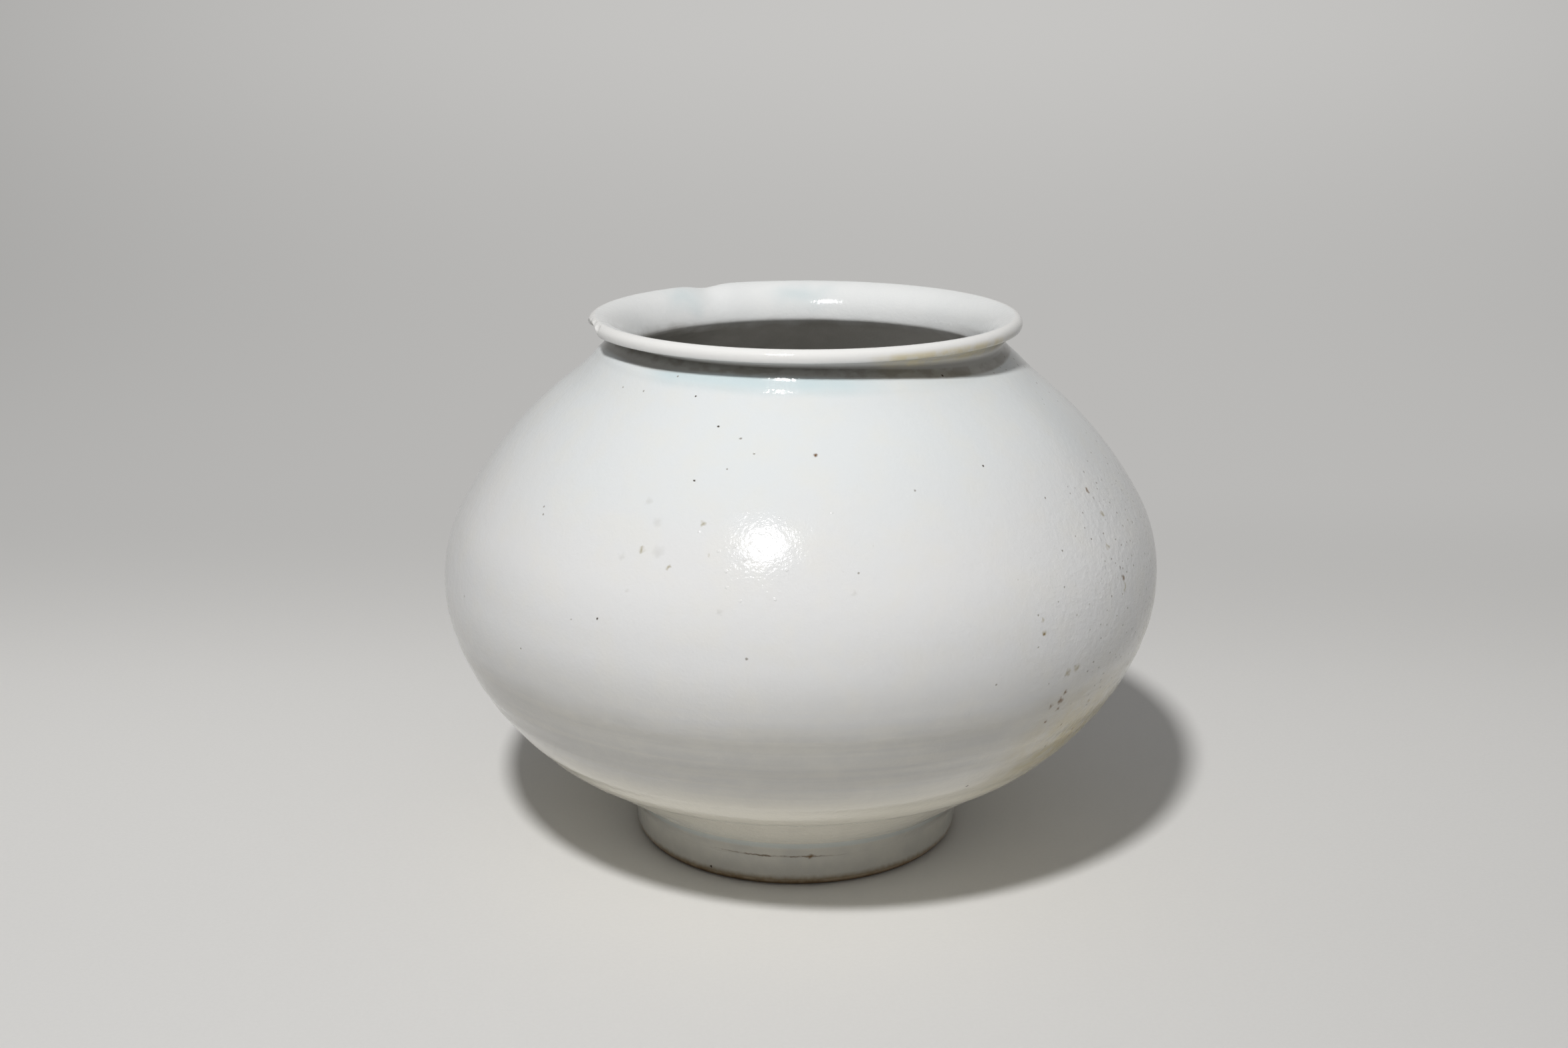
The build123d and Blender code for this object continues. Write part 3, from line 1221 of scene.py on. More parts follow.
class Steps:
    """Short steps that add nodes to a tree."""

    def __init__(self, tree: bpy.types.NodeTree) -> None:
        """Keep the tree's nodes and links."""
        self.nodes = tree.nodes
        self.links = tree.links

    def feed(self, target: Socket, value: Value) -> None:
        """Give an input its value.

        Args:
            target: The input.
            value: A socket to link, or a number, vector or colour to set.
        """
        if isinstance(value, bpy.types.NodeSocket):
            self.links.new(value, target)
        else:
            target.default_value = value

    def node(self, kind: str, inputs: dict[str | int, Value], **settings: str) -> bpy.types.Node:
        """Add a node.

        Args:
            kind: Its type.
            inputs: What goes into its inputs, by their names or numbers.
            settings: Its own settings.

        Returns:
            The node.
        """
        node = self.nodes.new(kind)
        for name, setting in settings.items():
            setattr(node, name, setting)
        for name, value in inputs.items():
            self.feed(node.inputs[name], value)
        return node

    def math(self, operation: str, *numbers: Value) -> Socket:
        """Result of one operation on numbers."""
        return self.node("ShaderNodeMath", dict(enumerate(numbers)), operation=operation).outputs["Value"]

    def vector(self, operation: str, *vectors: Value) -> bpy.types.Node:
        """Node for one operation on vectors, whose outputs are a vector and a number."""
        return self.node("ShaderNodeVectorMath", dict(enumerate(vectors)), operation=operation)

    def both(self, *shares: Socket) -> Socket:
        """Product of several shares."""
        return reduce(lambda total, share: self.math("MULTIPLY", total, share), shares)

    def most(self, shares: Iterable[Socket]) -> Socket:
        """Greatest of several shares at each place, gathered one by one so that few are held at a time."""
        return reduce(lambda total, share: self.math("MAXIMUM", total, share), shares)

    def grade(self, value: Socket, low: float, high: float, first: float = 0.0, last: float = 1.0) -> Socket:
        """Smooth step of a value.

        Args:
            value: The value.
            low: Where the step begins; it may lie above high.
            high: Where the step ends.
            first: Result at low.
            last: Result at high.

        Returns:
            The graded value.
        """
        ends = (low, high, first, last) if low < high else (high, low, last, first)
        inputs = {"Value": value, **dict(zip(("From Min", "From Max", "To Min", "To Max"), ends))}
        return self.node("ShaderNodeMapRange", inputs, interpolation_type="SMOOTHSTEP").outputs["Result"]

    def between(self, value: Socket, low: float, high: float, soft: float) -> Socket:
        """Share that is 1 between two values, with soft ends outside them."""
        return self.both(self.grade(value, low - soft, low), self.grade(value, high + soft, high))

    def seen(self) -> Socket:
        """Share of what the camera, reflections and clear materials see, and not of light on its way.

        Returns:
            The share.
        """
        path = self.nodes.new("ShaderNodeLightPath")
        seen = self.math("ADD", path.outputs["Is Camera Ray"], path.outputs["Is Glossy Ray"])
        return self.math("ADD", seen, path.outputs["Is Transmission Ray"])


class Recipe(Steps):
    """A material's node tree. Sizes in it are millimetres on the piece."""

    def __init__(self, name: str) -> None:
        """Start a material with its shader, and the place on the piece in millimetres.

        Args:
            name: Name of the material.
        """
        self.material = bpy.data.materials.new(name)
        self.material.use_nodes = True
        super().__init__(self.material.node_tree)
        self.nodes.clear()
        self.output = self.nodes.new("ShaderNodeOutputMaterial")
        self.shader = self.nodes.new("ShaderNodeBsdfPrincipled")
        self.feed(self.output.inputs["Surface"], self.shader.outputs["BSDF"])
        coordinates = self.nodes.new("ShaderNodeTexCoord")
        self.place = self.scaled(coordinates.outputs["Object"], (1.0 / MM,) * 3)
        self.height = self.axis("Z")

    def give(self, name: str, value: Value) -> None:
        """Give one of the shader's inputs its value."""
        self.feed(self.shader.inputs[name], value)

    def scaled(self, vector: Socket, factors: Triple) -> Socket:
        """Each part of a vector times its factor."""
        return self.node("ShaderNodeMapping", {"Scale": factors, "Vector": vector}).outputs["Vector"]

    def axis(self, name: str, vector: Socket | None = None) -> Socket:
        """The X, Y or Z part of a vector, by default of the place on the piece."""
        return self.node("ShaderNodeSeparateXYZ", {"Vector": vector or self.place}).outputs[name]

    def true_height(self) -> Socket:
        """Height on the true form in millimetres, which the piece's vertices carry."""
        return self.node("ShaderNodeAttribute", {}, attribute_name=TRUE_HEIGHT).outputs["Fac"]

    def mix(self, share: Socket, under: Socket | Quad, over: Socket | Quad) -> Socket:
        """Blend of two colours, by the share of the upper one."""
        return self.node("ShaderNodeMix", {0: share, 6: under, 7: over}, data_type="RGBA").outputs[2]

    def noise(self, size: float, octaves: float = 2.0, roughness: float = 0.5,
              stretch: Triple = (1.0, 1.0, 1.0), colour: bool = False) -> Socket:
        """Cloudy noise with lumps of about a size.

        Args:
            size: Size of the lumps in millimetres.
            octaves: Number of finer octaves.
            roughness: Weight of the finer octaves.
            stretch: How many times longer the lumps are along each axis.
            colour: Whether to give three numbers rather than one.

        Returns:
            The noise, about 0.5 on average.
        """
        vector = self.scaled(self.place, tuple(1.0 / (size * factor) for factor in stretch))
        inputs = {"Scale": 1.0, "Detail": octaves, "Roughness": roughness, "Vector": vector}
        return self.node("ShaderNodeTexNoise", inputs).outputs["Color" if colour else "Fac"]

    def cloud(self, cloud: Cloud) -> Socket:
        """Share of a cloud at each place."""
        noise = self.noise(cloud.size, cloud.octaves, cloud.roughness, cloud.stretch)
        return self.grade(noise, cloud.low, cloud.high, cloud.least, cloud.most)

    def sway(self, size: float, octaves: float, amount: float) -> Socket:
        """Noise about zero, whose lumps have a size, times an amount."""
        return self.math("MULTIPLY", self.math("SUBTRACT", self.noise(size, octaves), 0.5), amount)

    def strayed(self, size: float, amount: float) -> Socket:
        """The place on the piece, moved by up to an amount by noise of a size, so that edges are ragged."""
        centred = self.vector("SUBTRACT", self.noise(size, 1.0, colour=True), (0.5, 0.5, 0.5))
        return self.vector("MULTIPLY_ADD", centred.outputs[0], (2.0 * amount,) * 3, self.place).outputs[0]

    def cells(self, size: float) -> tuple[Socket, Socket]:
        """Points about a size apart: the distance to the nearest in shares of it, and its random colour."""
        node = self.node("ShaderNodeTexVoronoi", {"Scale": 1.0 / size, "Vector": self.place})
        return node.outputs["Distance"], node.outputs["Color"]

    def blot(self, vector: Socket, blot: Blot) -> Socket:
        """Share of a blot at each place: 1 within it, falling to 0 where (place - centre) / radii is 1 long.

        Args:
            vector: Place on the piece.
            blot: The blot.

        Returns:
            The share.
        """
        factors = tuple(1.0 / radius for radius in blot.radii)
        offset = tuple(-middle / radius for middle, radius in zip(blot.centre, blot.radii))
        inside = self.vector("MULTIPLY_ADD", vector, factors, offset)
        away = self.vector("LENGTH", inside.outputs[0])
        return self.grade(away.outputs["Value"], 1.0, 1.0 - blot.soft)

    def relief(self, *layers: tuple[Socket, float]) -> None:
        """Give the shader a relief: the sum of several heights.

        Args:
            layers: Heights from 0 to 1, each with its depth in millimetres.
        """
        total: Value = 0.0
        for height, depth in layers:
            total = self.math("MULTIPLY_ADD", height, depth, total)
        bump = self.node("ShaderNodeBump", {"Strength": 1.0, "Distance": MM, "Height": total})
        self.give("Normal", bump.outputs["Normal"])


class MarkKind(Enum):
    """Kinds of mark in the glaze.

    Each has a colour, a strength, the share of its edge that is soft, and whether its outline is ragged.
    """

    IRON = ((0.045, 0.028, 0.016, 1.0), 0.95, 0.6, False)
    RUST = ((0.16, 0.075, 0.02, 1.0), 0.95, 0.8, False)
    PEPPER = ((0.15, 0.12, 0.085, 1.0), 0.75, 0.8, False)
    OLIVE = ((0.29, 0.23, 0.08, 1.0), 0.66, 1.0, True)
    BROWN = ((0.18, 0.10, 0.035, 1.0), 0.92, 0.9, True)
    SMUDGE = ((0.45, 0.44, 0.40, 1.0), 0.24, 1.0, True)
    # Bubbles are real bumps in the relief; their paler colour is a painted glint.
    BUBBLE_AND_GLINT = ((0.85, 0.85, 0.85, 1.0), 0.30, 1.0, False)

    def __init__(self, colour: Quad, strength: float, soft: float, ragged: bool) -> None:
        """Keep the kind's values.

        Args:
            colour: Its colour.
            strength: How far it covers the glaze.
            soft: Share of its radius over which it fades.
            ragged: Whether its outline is ragged.
        """
        self.colour = colour
        self.strength = strength
        self.soft = soft
        self.ragged = ragged


@dataclass(frozen=True)
class Mark:
    """A mark in the glaze: the photograph's pixel that shows it, and its radius in millimetres.

    A tall mark is longer up and down by the factor of its tallness.
    """

    column: float
    row: float
    radius: float
    tallness: float = 1.0


MARKS: dict[MarkKind, tuple[Mark, ...]] = {
    MarkKind.IRON: (
        Mark(1220, 681, 0.32), Mark(1075, 638, 0.34), Mark(1041, 593, 0.35), Mark(1039, 719, 0.37),
        Mark(1471, 697, 0.34), Mark(894, 926, 0.34), Mark(1447, 1176, 0.40), Mark(1564, 1116, 0.34),
        Mark(1064, 1296, 0.40), Mark(1410, 562, 0.37),
    ),
    MarkKind.RUST: (Mark(1220, 681, 0.65), Mark(1562, 949, 0.50)),
    MarkKind.PEPPER: (
        Mark(1108, 656, 0.42), Mark(1088, 702, 0.37), Mark(1369, 734, 0.39), Mark(1117, 986, 0.39),
        Mark(1014, 563, 0.34), Mark(932, 579, 0.34), Mark(963, 585, 0.34), Mark(1503, 534, 0.47),
        Mark(1517, 537, 0.42), Mark(1523, 546, 0.36), Mark(1533, 549, 0.39), Mark(1497, 550, 0.31),
        Mark(1505, 553, 0.34), Mark(1487, 558, 0.31), Mark(1551, 573, 0.42), Mark(1570, 587, 0.34),
        Mark(1636, 745, 0.31, 2.0), Mark(1620, 767, 0.31), Mark(1623, 790, 0.27), Mark(1609, 802, 0.27),
        Mark(1676, 849, 0.36, 2.2),
    ),
    MarkKind.OLIVE: (
        Mark(1052, 783, 0.99), Mark(960, 822, 0.99), Mark(1001, 850, 0.72), Mark(1060, 831, 0.50),
        Mark(1563, 949, 1.03), Mark(1561, 928, 0.72), Mark(1650, 769, 0.99), Mark(1657, 818, 0.85, 1.8),
        Mark(1683, 878, 0.72, 2.2), Mark(1611, 999, 1.44), Mark(1598, 1006, 1.08), Mark(1629, 1048, 0.99),
    ),
    MarkKind.BROWN: (
        Mark(1627, 733, 0.90), Mark(1681, 865, 0.85, 1.3), Mark(1594, 1035, 0.85, 1.3),
        Mark(1586, 1048, 1.00, 1.1), Mark(1583, 1061, 0.80), Mark(1572, 1057, 0.80), Mark(1565, 1079, 0.80),
        Mark(1587, 1085, 0.60), Mark(1604, 1090, 0.60), Mark(1600, 1100, 0.70), Mark(1612, 1092, 0.70),
        Mark(1212, 1281, 1.10),
    ),
    MarkKind.SMUDGE: (
        Mark(972, 749, 1.20), Mark(930, 832, 1.00), Mark(939, 884, 0.80), Mark(1077, 916, 0.80),
        Mark(1278, 888, 0.80), Mark(984, 782, 1.60), Mark(985, 826, 1.90),
    ),
    MarkKind.BUBBLE_AND_GLINT: (
        Mark(1075, 824, 0.50), Mark(1086, 855, 0.50), Mark(1087, 879, 0.46), Mark(1108, 900, 0.42),
        Mark(1160, 897, 0.46), Mark(1177, 853, 0.50), Mark(1045, 795, 0.40), Mark(1100, 818, 0.55),
        Mark(1114, 837, 0.60), Mark(1245, 767, 0.40), Mark(1166, 774, 0.45), Mark(1118, 765, 0.40),
        Mark(1645, 805, 0.70, 1.6),
    ),
}

COOL_WHITE = (0.765, 0.795, 0.812, 1.0)
BLUISH_POOL = (0.62, 0.72, 0.75, 1.0)


@dataclass(frozen=True)
class GroundTone:
    """Colour of the glaze by height: white lip, cool shoulder, plain belly, greyer and creamy below; the
    greyer lower belly is partly real greyer glaze and partly painted shade.

    Drifts are the size, octaves and amount of the noise that moves a change of colour up and down.
    """

    white: Quad = (0.86, 0.858, 0.85, 1.0)
    plain: Quad = (0.785, 0.790, 0.797, 1.0)
    low: Quad = (0.722, 0.723, 0.72, 1.0)
    grey: Quad = (0.605, 0.598, 0.575, 1.0)
    cream: Quad = (0.83, 0.795, 0.69, 1.0)
    cool_drift: Triple = (26.0, 2.0, 30.0)
    cool_heights: Pair = (84.0, 116.0)
    low_drift: Triple = (18.0, 2.0, 4.0)
    low_heights: Pair = (71.0, 60.0)
    grey_heights: Pair = (58.8, 52.6)
    rings: Cloud = Cloud(1.5, 3.0, 0.40, 0.64, stretch=(45.0, 45.0, 1.0))
    ring_heights: Quad = (72.0, 44.0, 0.0, 0.15)
    mottle: Cloud = Cloud(7.0, 3.0, 0.40, 0.75, 0.0, 0.16)
    cream_top: float = 41.0
    cream_over_ridge: float = 4.5
    cream_share: float = 0.95
    white_over_neck: Pair = (4.0, 6.2)

    def lay(self, recipe: Recipe, form: Form) -> Socket:
        """Lay the ground colour.

        Args:
            recipe: The material.
            form: The jar's sizes.

        Returns:
            The colour.
        """
        level = recipe.math("ADD", recipe.height, recipe.sway(*self.cool_drift))
        colour = recipe.mix(recipe.grade(level, *self.cool_heights), self.plain, COOL_WHITE)
        # Darker and greyer below the belly: partly real greyer glaze, partly painted shade on the lower belly
        # that turns from the lamp.
        line = recipe.math("ADD", recipe.height, recipe.sway(*self.low_drift))
        colour = recipe.mix(recipe.grade(line, *self.low_heights), colour, self.low)
        colour = recipe.mix(recipe.grade(line, *self.grey_heights), colour, self.grey)
        turned = recipe.both(recipe.cloud(self.rings), recipe.grade(recipe.height, *self.ring_heights))
        colour = recipe.mix(turned, colour, self.cream)
        colour = recipe.mix(recipe.cloud(self.mottle), colour, self.cream)
        full_cream = form.ridge_height + self.cream_over_ridge
        creamy = recipe.grade(recipe.height, self.cream_top, full_cream, 0.0, self.cream_share)
        colour = recipe.mix(creamy, colour, self.cream)
        lip_heights = (form.neck_height + rise for rise in self.white_over_neck)
        return recipe.mix(recipe.grade(recipe.true_height(), *lip_heights), colour, self.white)


@dataclass(frozen=True)
class NeckTone:
    """Bluish glaze that has run down from the crease, and painted shade in the grey cove under the lip,
    darkest in the crease, with dark spots there that are partly real dirt and partly painted shade.

    Heights count from the crease. Bands are their two ends and how softly they end. The cove starts lower at
    the left, by two places and the drops there.
    """

    # Painted shade of the cove: pale just under the lip, dark in the crease; the spots are partly real dirt
    # and partly painted shade.
    shade: Quad = (0.76, 0.755, 0.74, 1.0)
    painted_crease_shade: Quad = (0.40, 0.39, 0.365, 1.0)
    dirt_and_shade: Quad = (0.31, 0.295, 0.265, 1.0)
    pool_band: Triple = (-1.2, 0.0, 1.6)
    pool_patches: Cloud = Cloud(16.0, 2.0, 0.36, 0.58, 0.6, 1.0)
    pool_front: Triple = (-24.0, 10.0, 14.0)
    pool_elsewhere: float = 0.12
    cove_left: Quad = (-14.0, -36.0, 0.0, -0.5)
    cove_start: Pair = (-0.8, -0.3)
    cove_end: Pair = (0.1, -0.25)
    full_crease_shade: float = 0.6
    dirt_and_shade_band: Triple = (-0.2, 1.0, 0.7)
    dirt_and_shade_spots: Cloud = Cloud(2.2, 3.0, 0.42, 0.62, stretch=(2.0, 2.0, 1.0))

    def lay(self, recipe: Recipe, form: Form, colour: Socket) -> Socket:
        """Lay the neck's colours over the ground: the bluish pool, and painted shade in the cove.

        Args:
            recipe: The material.
            form: The jar's sizes.
            colour: Colour so far.

        Returns:
            The colour with the neck.
        """
        above = recipe.math("SUBTRACT", recipe.true_height(), form.neck_height)
        patchy = recipe.cloud(self.pool_patches)
        front = recipe.between(recipe.axis("X"), *self.pool_front)
        front = recipe.grade(front, 0.0, 1.0, self.pool_elsewhere, 1.0)
        pooled = recipe.both(recipe.between(above, *self.pool_band), patchy, front)
        colour = recipe.mix(pooled, colour, BLUISH_POOL)
        # Painted shade: the cove under the lip is drawn grey, darkening down to the crease.
        edge = form.jar_height - form.lip_drop - form.neck_height
        lower = recipe.math("SUBTRACT", above, recipe.grade(recipe.axis("X"), *self.cove_left))
        cove_top = recipe.grade(above, *(edge + rise for rise in self.cove_end))
        cove = recipe.both(recipe.grade(lower, *self.cove_start), cove_top)
        painted_cove_shade = recipe.mix(recipe.grade(above, edge, self.full_crease_shade), self.shade, self.painted_crease_shade)
        colour = recipe.mix(cove, colour, painted_cove_shade)
        # Dark spots in the crease: partly real dirt, partly painted shade.
        spotted = recipe.cloud(self.dirt_and_shade_spots)
        dirt_and_shade_share = recipe.both(recipe.between(above, *self.dirt_and_shade_band), spotted, cove)
        return recipe.mix(dirt_and_shade_share, colour, self.dirt_and_shade)


@dataclass(frozen=True)
class FootTone:
    """Greyer colour on the side of the foot, partly real greyer glaze and partly painted shade under the
    belly, with a bluish pool in the grooves above it.

    Heights count from the crease over the foot.
    """

    side: Quad = (0.60, 0.588, 0.54, 1.0)
    side_heights: Pair = (2.0, -1.0)
    side_clouds: Cloud = Cloud(6.0, 3.0, 0.3, 0.7, 0.7, 1.0)
    pool_heights: Pair = (0.5, 1.3)
    pool_soft: float = 0.9
    pool_share: float = 0.5

    def lay(self, recipe: Recipe, form: Form, colour: Socket) -> Socket:
        """Lay the foot's colours over the ground.

        Args:
            recipe: The material.
            form: The jar's sizes.
            colour: Colour so far.

        Returns:
            The colour with the foot.
        """
        # Partly painted shade: the foot's side is drawn greyer where it stands in the belly's shade.
        side = recipe.grade(recipe.height, *(form.foot_height + rise for rise in self.side_heights))
        colour = recipe.mix(recipe.both(side, recipe.cloud(self.side_clouds)), colour, self.side)
        low, high = (form.foot_height + rise for rise in self.pool_heights)
        pooled = recipe.between(recipe.height, low, high, self.pool_soft)
        return recipe.mix(recipe.math("MULTIPLY", pooled, self.pool_share), colour, BLUISH_POOL)


@dataclass(frozen=True)
class Stains:
    """Ochre on the right of the lip, ochre and painted shade low on the right flank, brown and painted shade
    at the break, and brown at the seam and foot edge.

    Strays are the size and amount of the noise that makes their edges ragged. Drops count down from the top
    of the jar.
    """

    ochre_and_shade: Quad = (0.57, 0.49, 0.29, 1.0)
    pale_ochre: Quad = (0.76, 0.68, 0.46, 1.0)
    break_stain_and_shade: Quad = (0.09, 0.08, 0.05, 1.0)
    seam_brown: Quad = (0.16, 0.105, 0.055, 1.0)
    edge_brown: Quad = (0.26, 0.17, 0.075, 1.0)
    wide_stray: Pair = (3.0, 1.6)
    fine_stray: Pair = (1.2, 0.35)
    lip_span: Triple = (22.0, 42.0, 8.0)
    lip_top_drops: Pair = (0.8, 2.2)
    lip_low_drops: Pair = (6.0, 4.0)
    lip_front: Pair = (0.0, -12.0)
    lip_patches: Cloud = Cloud(3.5, 3.0, 0.35, 0.6, 0.35, 0.85)
    flank: tuple[Blot, ...] = (
        Blot((62.0, -44.0, 38.0), (33.0, 45.0, 27.0), 0.9),
        Blot((84.0, -14.0, 50.0), (16.0, 44.0, 26.0), 0.9),
    )
    flank_clouds: Cloud = Cloud(5.0, 4.0, 0.32, 0.68, 0.45, 0.95, roughness=0.6)
    break_place: Pair = (-45.6, -12.4)
    break_drop: float = 3.3
    break_radii: Triple = (5.0, 9.0, 0.7)
    break_soft: float = 0.6
    break_share: float = 0.85
    seam: Blot = Blot((-5.0, -39.5, Unevenness.crack_height), (21.0, 16.0, 0.38), 0.8)
    seam_gaps: Cloud = Cloud(2.4, 3.0, 0.38, 0.56, 0.25, 0.85)
    edge_heights: Pair = (1.6, -0.1)
    edge_share: float = 0.75

    def ochres(self, recipe: Recipe, form: Form, colour: Socket) -> Socket:
        """Lay the ochre on the lip, and the ochre and painted shade on the flank.

        Args:
            recipe: The material.
            form: The jar's sizes.
            colour: Colour so far.

        Returns:
            The colour with the ochre.
        """
        ragged = recipe.strayed(*self.wide_stray)
        side = recipe.axis("X", ragged)
        lower = recipe.grade(recipe.true_height(), *(form.jar_height - drop for drop in self.lip_top_drops))
        front = recipe.grade(recipe.axis("Y"), *self.lip_front)
        lip = recipe.both(recipe.between(side, *self.lip_span), lower, front)
        patchy = recipe.cloud(self.lip_patches)
        upper = recipe.grade(recipe.height, *(form.jar_height - drop for drop in self.lip_low_drops))
        colour = recipe.mix(recipe.both(lip, patchy, upper), colour, self.pale_ochre)
        # Low on the right flank: partly real ochre stain, partly painted shade where the flank gets little
        # light.
        flank = recipe.most(recipe.blot(ragged, blot) for blot in self.flank)
        return recipe.mix(recipe.both(flank, recipe.cloud(self.flank_clouds)), colour, self.ochre_and_shade)

    def browns(self, recipe: Recipe, form: Form, colour: Socket) -> Socket:
        """Lay the brown and painted shade at the break, and the brown at the open seam and the bare edge of
        the foot.

        Args:
            recipe: The material.
            form: The jar's sizes.
            colour: Colour so far.

        Returns:
            The colour with the brown.
        """
        near = recipe.strayed(*self.fine_stray)
        # At the break: partly brown stain, partly painted shade under the broken edge.
        break_centre = (*self.break_place, form.jar_height - self.break_drop)
        broken = recipe.blot(near, Blot(break_centre, self.break_radii, self.break_soft))
        colour = recipe.mix(recipe.math("MULTIPLY", broken, self.break_share), colour, self.break_stain_and_shade)
        seam = recipe.both(recipe.blot(near, self.seam), recipe.cloud(self.seam_gaps))
        colour = recipe.mix(seam, colour, self.seam_brown)
        edge = recipe.grade(recipe.axis("Z", near), *(form.bare_edge + rise for rise in self.edge_heights))
        return recipe.mix(recipe.math("MULTIPLY", edge, self.edge_share), colour, self.edge_brown)


@dataclass(frozen=True)
class Pinholes:
    """Small dark pinholes that crowd on the right flank. Crowds are two places and the shares there."""

    colour: Quad = (0.28, 0.255, 0.20, 1.0)
    strength: float = 0.7
    spacing: float = 1.5
    radii: Pair = (0.21, 0.08)
    crowd_right: Quad = (42.0, 86.0, 0.008, 0.60)
    crowd_low: Quad = (26.0, 44.0, 0.3, 1.0)
    crowd_high: Quad = (112.0, 84.0, 0.25, 1.0)

    def share(self, recipe: Recipe) -> Socket:
        """Share of the pinholes at each place.

        Args:
            recipe: The material.

        Returns:
            The share.
        """
        distance, random = recipe.cells(self.spacing)
        crowd = recipe.both(
            recipe.grade(recipe.axis("X"), *self.crowd_right),
            recipe.grade(recipe.height, *self.crowd_low),
            recipe.grade(recipe.height, *self.crowd_high),
        )
        chosen = recipe.math("LESS_THAN", recipe.axis("X", random), crowd)
        return recipe.both(recipe.grade(distance, *self.radii), chosen)


@dataclass(frozen=True)
class GlazeSurface:
    """Orange peel, fine grain, small bubbles, pinholes and the gloss that varies over them.

    Peel, grain and coarse are the size, octaves and roughness of a noise.
    """

    peel: Triple = (2.6, 1.0, 0.5)
    peel_depth: float = 0.05
    grain: Triple = (0.75, 2.0, 0.6)
    grain_depth: float = 0.045
    coarse: Triple = (1.6, 3.0, 0.6)
    coarse_depth: float = 0.20
    coarse_right: Pair = (34.0, 70.0)
    coarse_high: Pair = (112.0, 88.0)
    coarse_low: Pair = (26.0, 46.0)
    bubble_depth: float = 0.09
    pit_depth: float = -0.10
    dullness: Cloud = Cloud(9.0, 3.0, 0.35, 0.75, 0.08, 0.13)
    refraction: float = 1.5

    def lay(self, recipe: Recipe, pits: Socket, bubbles: Socket) -> None:
        """Give the shader its relief and gloss.

        Args:
            recipe: The material.
            pits: Share of the pinholes.
            bubbles: Share of the bubbles that stand out.
        """
        flank = recipe.both(
            recipe.grade(recipe.axis("X"), *self.coarse_right),
            recipe.grade(recipe.height, *self.coarse_high),
            recipe.grade(recipe.height, *self.coarse_low),
        )
        recipe.relief(
            (recipe.noise(*self.peel), self.peel_depth),
            (recipe.noise(*self.grain), self.grain_depth),
            (recipe.both(recipe.noise(*self.coarse), flank), self.coarse_depth),
            (bubbles, self.bubble_depth),
            (pits, self.pit_depth),
        )
        recipe.give("Roughness", recipe.cloud(self.dullness))
        recipe.give("IOR", self.refraction)


@dataclass(frozen=True)
class GlazeFinish:
    """Glossy white glaze: cool on the shoulder and in pools, greyer and warm below (the grey partly painted
    shade), with painted shade in the cove under the lip and at the break, pitted and specked.

    Strays are the size and amount of the noise that shapes the outlines of round and of ragged marks.
    """

    name: str
    ground: GroundTone = GroundTone()
    neck: NeckTone = NeckTone()
    foot: FootTone = FootTone()
    stains: Stains = Stains()
    pinholes: Pinholes = Pinholes()
    surface: GlazeSurface = GlazeSurface()
    round_stray: Pair = (0.6, 0.22)
    ragged_stray: Pair = (1.3, 0.9)

    def build(self, form: Form, marks: dict[MarkKind, list[Blot]]) -> bpy.types.Material:
        """Make the material.

        Args:
            form: The jar's sizes.
            marks: The marks, by kind.

        Returns:
            The material.
        """
        recipe = Recipe(self.name)
        colour = self.ground.lay(recipe, form)
        colour = self.neck.lay(recipe, form, colour)
        colour = self.foot.lay(recipe, form, colour)
        colour = self.stains.ochres(recipe, form, colour)
        colour = self.stains.browns(recipe, form, colour)
        pits = self.pinholes.share(recipe)
        pitted = recipe.math("MULTIPLY", pits, self.pinholes.strength)
        colour = recipe.mix(pitted, colour, self.pinholes.colour)
        round_place = recipe.strayed(*self.round_stray)
        ragged_place = recipe.strayed(*self.ragged_stray)
        shares: dict[MarkKind, Socket] = {}
        for kind, blots in marks.items():
            place = ragged_place if kind.ragged else round_place
            shares[kind] = recipe.most(recipe.blot(place, blot) for blot in blots)
            colour = recipe.mix(recipe.math("MULTIPLY", shares[kind], kind.strength), colour, kind.colour)
        recipe.give("Base Color", colour)
        self.surface.lay(recipe, pits, shares[MarkKind.BUBBLE_AND_GLINT])
        return recipe.material


